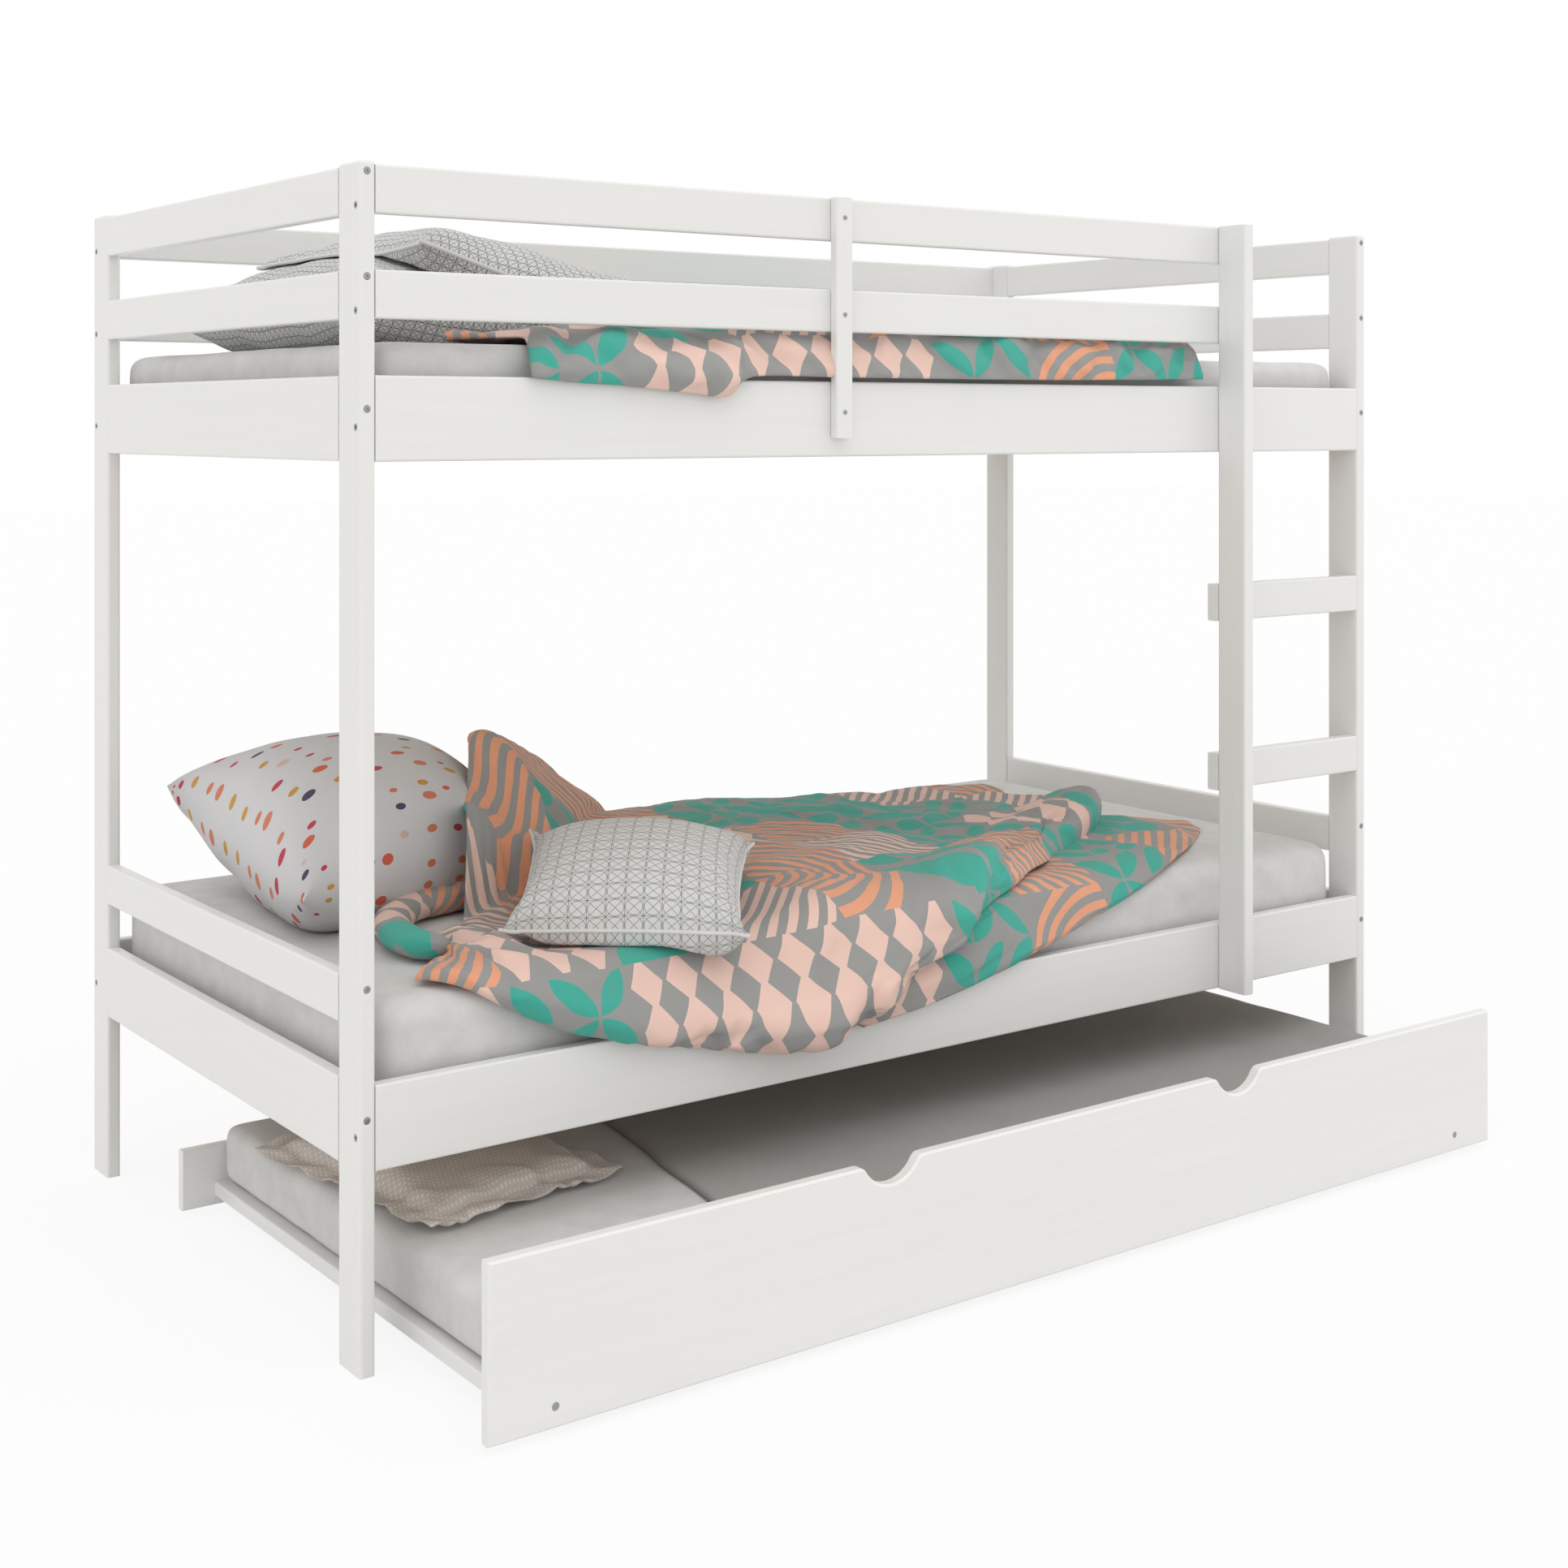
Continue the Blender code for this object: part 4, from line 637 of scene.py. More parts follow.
def seatHeads(name, head, seats):
    # copies of a head at their places, turned about the upright and joined
    heads = []
    for place, turn in seats:
        twin = addObject(head.name, head.data.copy())
        twin.data.transform(Matrix.Translation(place) @ Matrix.Rotation(turn, 4, "Z"))
        heads.append(twin)
    selectOnly(*heads)
    bpy.ops.object.join()
    whole = bpy.context.object
    whole.name = whole.data.name = name
    declare(whole, "bed")


def makeFastenings():
    head = makeHexHead("bolt_pattern", bolt)
    seat = bolt["recess"] - bolt["sunk"] - bolt["thickness"] / 2
    for endName, end in (("front", -1), ("back", 1)):
        for sideName, side in (("left", -1), ("right", 1)):
            low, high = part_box(f"post_{endName}_{sideName}")
            outerX, outerY = low.x if side < 0 else high.x, low.y if end < 0 else high.y
            insetX, insetY = outerX - side * bolt["frontInset"], outerY - end * bolt["sideInset"]
            seats = [((insetX, outerY - end * seat, height), (1 + end) * math.pi / 2)
                     for height in boltHeights(bolt["frontShares"], boltedRails)]
            seats += [((outerX - side * seat, insetY, height), side * math.pi / 2)
                      for height in boltHeights(bolt["sideShares"], boltedRails[1:])]
            seatHeads(f"bolts_{endName}_{sideName}", head, seats)
    bpy.data.objects.remove(head)
    head = makeHexHead("screw_pattern", screw)
    low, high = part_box("guard_upright")
    place = ((low.x + high.x) / 2, low.y - screw["thickness"] / 2 + screw["sunk"])
    seatHeads("guard_screws", head, [((*place, height), 0) for height in screw["heights"]])
    bpy.data.objects.remove(head)


makeFastenings()
print("bolts and screws are seated")

# tools for soft pieces


def smoothStep(value):
    value = min(max(value, 0.0), 1.0)
    return value * value * (3 - 2 * value)


def closeTo(distance, reach):
    # 1 at a place and 0 from its reach on
    return smoothStep(1 - distance / reach)


def wobble(place, size, seed=0.0):
    # smooth chance between about -1 and 1, alike on every run
    x, y, z = (*place, 0)[:3]
    return noise.noise(Vector((x / size + seed, y / size - seed, z / size)))


def runsAlong(spots):
    # distances from the first point, along the line through them all
    runs = [0.0]
    for first, second in zip(spots, spots[1:]):
        runs.append(runs[-1] + (second - first).length)
    return runs


def curveThrough(points, scale=(1, 1)):
    # a smooth curve, from 0 at its first point to 1 at its last
    spots = [Vector(point) * Vector(scale) for point in points]
    runs = runsAlong(spots)
    marks = [run / runs[-1] for run in runs]
    ends = [2 * spots[0] - spots[1]] + spots + [2 * spots[-1] - spots[-2]]

    def at(share):
        number = 0
        while number < len(spots) - 2 and share > marks[number + 1]:
            number += 1
        t = (share - marks[number]) / (marks[number + 1] - marks[number])
        before, start, end, after = ends[number:number + 4]
        slopeIn, slopeOut = (end - before) / 2, (after - start) / 2
        return (start * (1 + 2 * t) * (1 - t) ** 2 + slopeIn * t * (1 - t) ** 2
                + end * t * t * (3 - 2 * t) + slopeOut * t * t * (t - 1))

    return at


def spotsOn(curve, steps):
    return [curve(number / steps) for number in range(steps + 1)]


def nearestOf(spots, spot):
    # how far the nearest of some spots is, and its number
    return min(((Vector(spot) - other).length, number) for number, other in enumerate(spots))


def patch(look):
    # a surface of two parameters that fills four border curves
    left, right, far, near = (curveThrough(look[side]) for side in ("left", "right", "far", "near"))

    def at(u, v):
        sides = left(v).lerp(right(v), u)
        ends = far(u).lerp(near(u), v)
        return sides + ends - far(0).lerp(far(1), u).lerp(near(0).lerp(near(1), u), v)

    return at


class Pad:
    # two grids of points, and their places on the cloth in metres, that become one closed pad
    def __init__(self, cells):
        self.columns, self.rows = cells
        self.size = (self.columns + 1, self.rows + 1)
        self.upper, self.lower, self.uvs = (np.zeros((*self.size, width)) for width in (3, 3, 2))

    def spots(self):
        return np.ndindex(*self.size)

    def atBorder(self, i, j):
        return i in (0, self.columns) or j in (0, self.rows)

    def makeObject(self, name, material):
        # above and below become the numbers of the mesh's points; the two grids share their border
        shape = bmesh.new()
        layer = shape.loops.layers.uv.new("UVMap")
        above, below = {}, {}
        for spot in self.spots():
            above[spot] = shape.verts.new(self.upper[spot])
            below[spot] = above[spot] if self.atBorder(*spot) else shape.verts.new(self.lower[spot])
        for i, j in np.ndindex(self.columns, self.rows):
            corners = ((i, j), (i + 1, j), (i + 1, j + 1), (i, j + 1))
            for points, order in ((above, corners), (below, corners[::-1])):
                verts, uvs = ([grid[corner] for corner in order] for grid in (points, self.uvs))
                addFace(shape, layer, verts, uvs)
        shape.verts.index_update()
        self.above, self.below = (np.array([vert.index for vert in points.values()]).reshape(self.size)
                                  for points in (above, below))
        return closedObject(name, shape, material)


def addFace(shape, layer, verts, uvs):
    for loop, uv in zip(shape.faces.new(verts).loops, uvs):
        loop[layer].uv = uv


def closedObject(name, shape, material):
    if shape.calc_volume(signed=True) < 0:
        bmesh.ops.reverse_faces(shape, faces=shape.faces)
    obj = addObject(name, bpy.data.meshes.new(name))
    shape.to_mesh(obj.data)
    shape.free()
    wear(obj, material)
    return obj


def wear(obj, material):
    # one material, and smooth shading all over
    obj.data.materials.clear()
    obj.data.materials.append(material)
    obj.data.shade_smooth()


def pointsOf(mesh):
    flat = np.empty(len(mesh.vertices) * 3, np.float32)
    mesh.vertices.foreach_get("co", flat)
    return flat.reshape(-1, 3).astype(float)


def setPoints(mesh, points):
    mesh.vertices.foreach_set("co", points.astype(np.float32).ravel())
    mesh.update()


clothForm = {"quality": 6, "mass": 0.25, "air_damping": 2.0, "shear_stiffness": 4.0,
             "tension_stiffness": 12.0, "compression_stiffness": 12.0, "use_pressure": True,
             "vertex_group_mass": "held"}


def billow(obj, held, most, look):
    # the cloth pushes out, with a little more cloth than its shape needs, and no point passes its limit
    group = obj.vertex_groups.new(name="held")
    group.add([int(number) for number in held], 1.0, "REPLACE")
    cloth = obj.modifiers.new("billow", "CLOTH")
    for key, value in clothForm.items():
        setattr(cloth.settings, key, value)
    cloth.settings.bending_stiffness = look["bending"]
    cloth.settings.uniform_pressure_force = look["pressure"]
    cloth.settings.shrink_min = -look["growth"]
    cloth.settings.effector_weights.gravity = 0
    cloth.collision_settings.use_collision = False
    cloth.collision_settings.use_self_collision = False
    cloth.point_cache.frame_start = 1
    cloth.point_cache.frame_end = look["frames"]
    for number in range(1, look["frames"] + 1):
        bpy.context.scene.frame_set(number)
    before = pointsOf(obj.data)
    moved = pointsOf(obj.evaluated_get(bpy.context.evaluated_depsgraph_get()).data)
    obj.modifiers.remove(cloth)
    obj.vertex_groups.remove(group)
    bpy.context.scene.frame_set(1)
    if np.isfinite(moved).all():
        setPoints(obj.data, before + limited(moved - before, most))


def limited(away, most):
    # movements of points, eased off so that none passes its limit
    reach = np.linalg.norm(away, axis=1)
    eased = most * np.tanh(reach / np.maximum(most, 1e-9))
    return away * np.where(reach > 1e-9, eased / np.maximum(reach, 1e-9), 0)[:, None]


def refine(obj):
    selectOnly(obj)
    divide = obj.modifiers.new("finer", "SUBSURF")
    divide.levels = divide.render_levels = 1
    bpy.ops.object.modifier_apply(modifier=divide.name)


def treeOf(obj):
    shape = bmesh.new()
    shape.from_mesh(obj.data)
    tree = BVHTree.FromBMesh(shape)
    shape.free()
    return tree


def highestNear(tree, x, y, reach, otherwise):
    steps = [(i * part, j * part) for i in (-1, 0, 1) for j in (-1, 0, 1) for part in (reach, reach / 2)]
    hits = [tree.ray_cast(Vector((x + i, y + j, 5.0)), Vector((0, 0, -1)))[0] for i, j in steps]
    return max(hit.z if hit else otherwise for hit in hits)


def finishSoft(obj, body, slot, fill, *nodes):
    declare(obj, body)
    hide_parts(*nodes)


# mattresses

mattress = {"rounding": {"lower": 0.038, "upper": 0.026, "trundle": 0.022}, "cell": 0.028, "sag": 0.0035,
            "sagReach": 0.20, "pucker": 0.0050, "puckerReach": 0.30, "waviness": 0.0012, "fill": 0.9}


def cutIntoCells(obj, low, high, rounding):
    # even cuts across the flat faces, so that the cover can pucker
    shape = bmesh.new()
    shape.from_mesh(obj.data)
    for axis in range(3):
        start, stop = low[axis] + rounding, high[axis] - rounding
        count = max(int(round((stop - start) / mattress["cell"])), 1)
        place, normal = [0, 0, 0], [0, 0, 0]
        normal[axis] = 1
        for number in range(1, count):
            place[axis] = start + (stop - start) * number / count
            bmesh.ops.bisect_plane(shape, geom=shape.verts[:] + shape.edges[:] + shape.faces[:], dist=1e-6,
                                   plane_co=place, plane_no=normal)
    shape.to_mesh(obj.data)
    shape.free()


def makeMattress(level, body):
    low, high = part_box(level + "_mattress")
    size, centre = high - low, (high + low) / 2
    rounding = mattress["rounding"][level]
    bpy.ops.mesh.primitive_cube_add(size=1, location=centre)
    obj = bpy.context.object
    obj.name = level + "_mattress_cover"
    obj.scale = size
    bpy.ops.object.transform_apply(location=True, rotation=False, scale=True)
    bpy.ops.object.mode_set(mode="EDIT")
    bpy.ops.mesh.select_mode(type="EDGE")
    bpy.ops.mesh.select_all(action="SELECT")
    bpy.ops.mesh.bevel(offset=rounding, segments=4, profile=0.5, affect="EDGES")
    bpy.ops.object.mode_set(mode="OBJECT")
    cutIntoCells(obj, low, high, rounding)
    points = pointsOf(obj.data)
    inside = np.minimum(points - np.array(low), np.array(high) - points)
    for point, room in zip(points, inside):
        way = (point - np.array(centre)) / np.array(size) * 2
        side = 1 if abs(way[1]) > 0.9 else 0
        if side or abs(way[0]) > 0.97:
            # upright puckers in the sides, most of them near the corners
            run, lean = point[1 - side], 0.25 * (point[2] - centre.z)
            ripple = math.sin((run + lean) * 88 + 3.5 * wobble((run, lean), 0.13, 3.1))
            corner = closeTo(room[0], mattress["puckerReach"])
            depth = mattress["pucker"] * (0.12 + corner) * max(ripple, 0) ** 3
            depth *= 0.6 + 0.8 * wobble((run, 1), 0.07, 5.0)
            depth += mattress["waviness"] * wobble(point, 0.10, 1.5)
            point[side] -= math.copysign(depth * (1 - 0.5 * abs(way[2])), way[side])
        if way[2] > 0.5:
            edge = closeTo(min(room[:2]), mattress["sagReach"])
            point[2] -= mattress["sag"] * edge * (0.6 + 0.4 * wobble(point, 0.09, 7.7))
    setPoints(obj.data, points)
    refine(obj)
    # the trundle's mattress gets the darker copy of the cover, which is painted shade
    wear(obj, materials["trundleMattressPaintedShade" if level == "trundle" else "mattress"])
    finishSoft(obj, body, "mattress_cloth", mattress["fill"], level + "_mattress")


def bunkOf(level):
    low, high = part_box(level + "_mattress")
    boardLow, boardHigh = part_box(level + "_front_board")
    return {"left": low.x, "front": low.y, "top": high.z, "scale": (high.x - low.x, high.y - low.y),
            "rounding": mattress["rounding"][level], "boardCorner": (boardLow.y, boardHigh.z)}


for level, body in (("lower", "bed"), ("upper", "bed"), ("trundle", "trundle")):
    makeMattress(level, body)
bunks = {level: bunkOf(level) for level in ("lower", "upper")}
print("mattresses are covered")

# pillows: shares and centres are parts of the mattress's length and width

lowerPillow = {"node": "lower_pillow", "material": "spotted", "slot": "pillow_cloth", "seed": 1.0,
               "shares": (0.287, 0.660), "rise": 0.145, "centre": (0.162, 0.610), "turn": (7, 7, -2),
               "lift": 0.088, "cells": (44, 48), "fill": 0.75, "cornerPull": (-0.055, 0.210)}
cushion = {"node": "lower_cushion", "material": "lattice", "slot": "lattice_cloth", "seed": 5.0,
           "piped": True, "shares": (0.1842, 0.3723), "rise": 0.078, "centre": (0.259, 0.162),
           "turn": (10.8, 0.3, -36.8), "lift": 0.064, "cells": (40, 40), "fill": 0.7, "belly": 1.28}
lyingPillow = {"node": "upper_lying_pillow", "material": "smallLattice", "slot": "lattice_cloth",
               "seed": 12.0, "piped": True, "shares": (0.316, 0.710), "rise": 0.092,
               "centre": (0.163, 0.500), "turn": (0, 3, 0), "lift": 0.046, "cells": (44, 44), "fill": 0.6}
topPillow = {"node": "upper_top_pillow", "material": "smallLattice", "slot": "lattice_cloth", "seed": 17.0,
             "piped": True, "shares": (0.284, 0.574), "rise": 0.076, "centre": (0.198, 0.426),
             "turn": (-1, 15.5, 2), "lift": 0.068, "cells": (44, 44), "fill": 0.65}
pillowForm = {"sidePull": 0.07, "crownPower": 0.48, "thinnest": 0.003, "reach": 0.025, "swell": 0.009,
              "crease": 0.0035, "pressure": 5.0, "growth": 0.03, "frames": 22, "bending": 0.15}
piping = {"radius": 0.0030, "sides": 2}


def crownedPad(look, size, pull):
    # a pillow's two sides round the origin, before any cloth is simulated
    pad = Pad(look["cells"])
    shares = [[math.sin(math.pi * (number / count - 0.5)) for number in range(count + 1)]
              for count in look["cells"]]
    lengths = []
    for span, marks in zip(size, shares):
        # lengths over the crown from the middle, so that the pattern isn't stretched
        crowns = [look["rise"] * max(1 - a * a, 0) ** pillowForm["crownPower"] for a in marks]
        runs = runsAlong([Vector((span / 2 * a, crown)) for a, crown in zip(marks, crowns)])
        lengths.append([run - runs[-1] / 2 for run in runs])
    for i, j in pad.spots():
        a, b = shares[0][i], shares[1][j]
        pulled = (1 + a) * (1 - b) / 4
        x = size[0] / 2 * a * (1 - pillowForm["sidePull"] * (1 - b * b) * a * a) + pull[0] * pulled
        y = size[1] / 2 * b * (1 - pillowForm["sidePull"] * (1 - a * a) * b * b) + pull[1] * pulled
        crown = look["rise"] * max((1 - a * a) * (1 - b * b), 0) ** pillowForm["crownPower"]
        pad.upper[i, j] = (x, y, crown)
        pad.lower[i, j] = (x, y, -crown * look.get("belly", 1.0))
        pad.uvs[i, j] = (lengths[0][i], lengths[1][j])
    return pad


def gather(pad, size, seed):
    # short gathers that run in from the seam, deepest near the corners
    for i, j in pad.spots():
        a, b = abs(2 * i / pad.columns - 1), abs(2 * j / pad.rows - 1)
        x, y = place = pad.upper[i, j, :2]
        wavesY = y / size[1] * 58 + 2.2 * wobble(place, 0.05, seed)
        wavesX = x / size[0] * 52 + 2.2 * wobble(place, 0.05, seed + 9)
        depth = smoothStep((a - 0.55) / 0.4) * math.sin(wavesY)
        depth += smoothStep((b - 0.55) / 0.4) * math.sin(wavesX)
        depth *= pillowForm["crease"] * (0.45 + 0.55 * a * b)
        fold = pillowForm["crease"] * 1.6 * wobble(place, 0.085, seed + 4)
        room = (1 - a ** 6) * (1 - b ** 6)
        pad.upper[i, j, 2] += (depth + fold) * room
        pad.lower[i, j, 2] -= (depth - fold) * room


def makePillow(name, bunk, look, under=None):
    # on the mattress, or on a tree of faces that it is lowered onto
    size = np.array(look["shares"]) * bunk["scale"]
    pull = np.array(look.get("cornerPull", (0, 0))) * bunk["scale"]
    pad = crownedPad(look, size, pull)
    gather(pad, size, look["seed"])
    obj = pad.makeObject(name, materials[look["material"]])
    billow(obj, [], pillowForm["swell"], pillowForm)
    turn = Euler([math.radians(angle) for angle in look["turn"]]).to_matrix()
    across = np.array(look["centre"]) * bunk["scale"]
    centre = Vector((bunk["left"] + across[0], bunk["front"] + across[1], bunk["top"] + look["lift"]))
    placed = [centre + turn @ Vector(point) for point in pointsOf(obj.data)]
    for point in placed:
        floor = bunk["top"]
        if under:
            floor = highestNear(under, point.x, point.y, pillowForm["reach"], floor)
        point.z = max(point.z, floor + gap)
    # the upper side stays above the lower one where both rest
    for high, low in zip(pad.above.ravel(), pad.below.ravel()):
        if high != low:
            placed[high].z = max(placed[high].z, placed[low].z + pillowForm["thinnest"])
    setPoints(obj.data, np.array([tuple(point) for point in placed]))
    border = [pad.above[:, 0], pad.above[-1, 1:], pad.above[-2::-1, -1], pad.above[0, -2:0:-1]]
    seam = pointsOf(obj.data)[np.concatenate(border)]
    refine(obj)
    finishSoft(obj, "bed", look["slot"], look["fill"], look["node"])
    pieces = [obj]
    if "piped" in look:
        pieces.append(makePiping(name + "_piping", seam))
    if under:
        settleOn(pieces, under)
    return obj


def makePiping(name, seam):
    # a thin covered cord sewn into the seam all round
    curve = bpy.data.curves.new(name, "CURVE")
    curve.dimensions = "3D"
    curve.bevel_depth = piping["radius"]
    curve.bevel_resolution = piping["sides"]
    spline = curve.splines.new("POLY")
    spline.points.add(len(seam) - 1)
    for point, place in zip(spline.points, seam):
        point.co = (*place, 1)
    spline.use_cyclic_u = True
    selectOnly(addObject(name, curve))
    bpy.ops.object.convert(target="MESH")
    obj = bpy.context.object
    wear(obj, materials["piping"])
    declare(obj, "bed")
    return obj


def settleOn(pieces, under):
    # moves pieces straight down until the first of them almost touches what is under it
    own = pointsOf(pieces[0].data)[::3]
    hits = [under.ray_cast(Vector(point), Vector((0, 0, -1)))[0] for point in own]
    gaps = [point[2] - hit.z for point, hit in zip(own, hits) if hit]
    fall = min(gaps) - gap if gaps else 0
    for piece in pieces:
        setPoints(piece.data, pointsOf(piece.data) - (0, 0, fall))


# duvets: borders and other places are parts of the mattress's length and width

drape = {"gap": 0.008, "runIn": 0.100, "boardClearance": 0.010}
crumple = {"creaseDepth": 0.0060, "creaseSize": 0.115, "fineDepth": 0.0022, "fineSize": 0.038,
           "puckerDepth": 0.0030, "puckerLength": 0.052, "puckerReach": 0.045, "thinnest": 0.003,
           "pressure": 1.2, "growth": 0.10, "frames": 14, "bending": 0.25}
lowerDuvet = {
    "node": "lower_duvet", "seed": 33.0, "filling": 0.030, "cells": (124, 84), "crowding": 1.35,
    "rim": 0.060, "rolledRim": 0.030, "fill": 0.35, "swell": 0.016,
    "left": ((0.40, 0.975), (0.310, 0.872), (0.262, 0.730), (0.226, 0.590), (0.188, 0.470), (0.172, 0.395),
             (0.154, 0.352), (0.122, 0.302), (0.096, 0.225), (0.070, 0.130), (0.040, 0.049)),
    "right": ((0.900, 0.772), (0.884, 0.623), (0.873, 0.496), (0.860, 0.370), (0.815, 0.270),
              (0.724, 0.160), (0.616, 0.030), (0.553, -0.010), (0.505, -0.062), (0.447, -0.105),
              (0.405, -0.140)),
    "far": ((0.40, 0.975), (0.584, 0.921), (0.668, 0.846), (0.805, 0.772), (0.900, 0.772)),
    "near": ((0.040, 0.049), (0.064, 0.011), (0.142, -0.085), (0.242, -0.140), (0.320, -0.168),
             (0.368, -0.168), (0.405, -0.140)),
    "foldStart": (0.860, 0.340), "foldEnd": (0.447, -0.105), "rollRise": 0.032, "rollReach": 0.11,
    "flapLift": 0.019, "flapReach": 0.13, "pressed": 0.92, "pressedReach": 0.30, "hollow": (0.125, 0.318),
    "hollowReach": 0.050, "pinch": (0.236, 0.480), "pinchFolds": 9, "pinchDepth": 0.011, "pinchReach": 0.15,
    "peak": (0.318, 0.835), "peakRise": 0.020, "peakReach": 0.15, "ridgeRise": 0.014, "ridgeReach": 0.075,
    "ridge": ((0.345, 0.300), (0.420, 0.270), (0.480, 0.250), (0.560, 0.330), (0.640, 0.450))}
tent = {
    "low": ((-0.500, 0.140), (-0.129, 0.4885)), "peak": (-0.350, 0.500), "foot": 0.490, "crest": 0.668,
    "sag": 0.006, "pillowReach": 0.040, "cornerSpot": (-0.495, 0.065), "cornerCap": 0.540,
    "cornerReach": 0.045}
flap = {
    "node": "lower_duvet", "seed": 21.0, "filling": 0.015, "cells": (72, 28), "crowding": 1.0, "rim": 0.040,
    "fill": 0.25, "swell": 0.007,
    "left": ((0.800, 0.440), (0.740, 0.330), (0.620, 0.170), (0.480, 0.030), (0.340, -0.070)),
    "right": ((0.950, 0.255), (0.898, 0.165), (0.782, 0.013), (0.650, -0.070), (0.500, -0.140),
              (0.400, -0.166)),
    "far": ((0.800, 0.440), (0.885, 0.405), (0.950, 0.255)),
    "near": ((0.340, -0.070), (0.365, -0.125), (0.400, -0.166))}
upperDuvet = {
    "node": "upper_duvet", "seed": 47.0, "filling": 0.022, "cells": (112, 60), "crowding": 1.35,
    "rim": 0.050, "fill": 0.35, "swell": 0.010,
    "left": ((0.345, 0.950), (0.340, 0.600), (0.330, 0.220), (0.250, 0.150), (0.150, 0.142), (0.088, 0.112),
             (0.068, 0.086), (0.082, 0.058), (0.108, 0.042), (0.117, 0.020), (0.113, -0.020),
             (0.105, -0.072)),
    "right": ((0.830, 0.950), (0.835, 0.500), (0.815, 0.100), (0.800, -0.058)),
    "far": ((0.345, 0.950), (0.600, 0.955), (0.830, 0.950)),
    "near": ((0.105, -0.072), (0.142, -0.080), (0.184, -0.084), (0.242, -0.094), (0.278, -0.098),
             (0.302, -0.068), (0.400, -0.067), (0.600, -0.066), (0.800, -0.058)),
    "folds": (((0.146, -0.078), (0.162, -0.030), (0.220, 0.010), (0.300, 0.080)),
              ((0.180, -0.085), (0.235, -0.060), (0.300, -0.020), (0.360, 0.060)),
              ((0.560, -0.020), (0.600, 0.060), (0.610, 0.200)),
              ((0.700, -0.020), (0.660, 0.120), (0.690, 0.320))),
    "foldRise": 0.012, "foldReach": 0.032, "troughReach": 0.07}
rolledMouth = {
    "path": ((0.232, 0.470), (0.192, 0.448), (0.155, 0.430), (0.124, 0.402), (0.098, 0.352), (0.083, 0.290),
             (0.076, 0.230), (0.078, 0.175), (0.090, 0.130)),
    "width": 0.056, "height": 0.042, "lift": 0.003, "steps": 72, "sides": 28, "crumple": 0.0035, "fill": 0.4}


def gapBeforeBend(distance):
    return gap + (drape["gap"] - gap) * closeTo(distance, drape["runIn"])


def drapePath(bunk):
    # level, round the mattress's edge, taut to the board's outer top corner and straight down
    arcMiddle = (bunk["front"] + bunk["rounding"], bunk["top"] - bunk["rounding"])
    arcRadius = bunk["rounding"] + drape["gap"]
    corner, clearance = bunk["boardCorner"], drape["boardClearance"]
    toCorner = (corner[0] - arcMiddle[0], corner[1] - arcMiddle[1])
    bend = math.atan2(-toCorner[1], -toCorner[0]) + math.asin((arcRadius - clearance) / math.hypot(*toCorner))
    arcLength, cornerLength = arcRadius * bend, clearance * (math.pi / 2 - bend)
    run = math.sqrt(math.hypot(*toCorner) ** 2 - (arcRadius - clearance) ** 2)

    def onArc(middle, radius, angle):
        normal = (-math.sin(angle), math.cos(angle))
        return (middle[0] + radius * normal[0], middle[1] + radius * normal[1]), normal

    def pointAt(distance):
        if distance <= 0:
            height = arcMiddle[1] + arcRadius - drape["gap"] + gapBeforeBend(-distance)
            return (arcMiddle[0] - distance, height), (0.0, 1.0)
        if distance <= arcLength:
            return onArc(arcMiddle, arcRadius, distance / arcRadius)
        left = distance - arcLength
        if left <= run:
            start, normal = onArc(arcMiddle, arcRadius, bend)
            return (start[0] - left * math.cos(bend), start[1] - left * math.sin(bend)), normal
        left -= run
        if left <= cornerLength:
            return onArc(corner, clearance, bend + left / clearance)
        return (corner[0] - clearance, corner[1] - left + cornerLength), (-1.0, 0.0)

    return pointAt


def roundRim(distance, rim):
    share = min(max(distance / rim, 0.0), 1.0)
    return math.sqrt(max(1 - (1 - share) ** 2, 0.0))


def creaseAt(spot, seed):
    # long soft creases and finer ones between them
    x, y = spot
    wide = 1 - abs(wobble((x * 0.75 + 0.4 * y, y), crumple["creaseSize"], seed)) * 3.2
    fine = 1 - abs(wobble((x, y * 0.8), crumple["fineSize"], seed + 3)) * 3.0
    depths = ((wide, crumple["creaseDepth"]), (fine, crumple["fineDepth"]))
    return sum(depth * (max(part, 0) ** 2 - 0.25) for part, depth in depths)


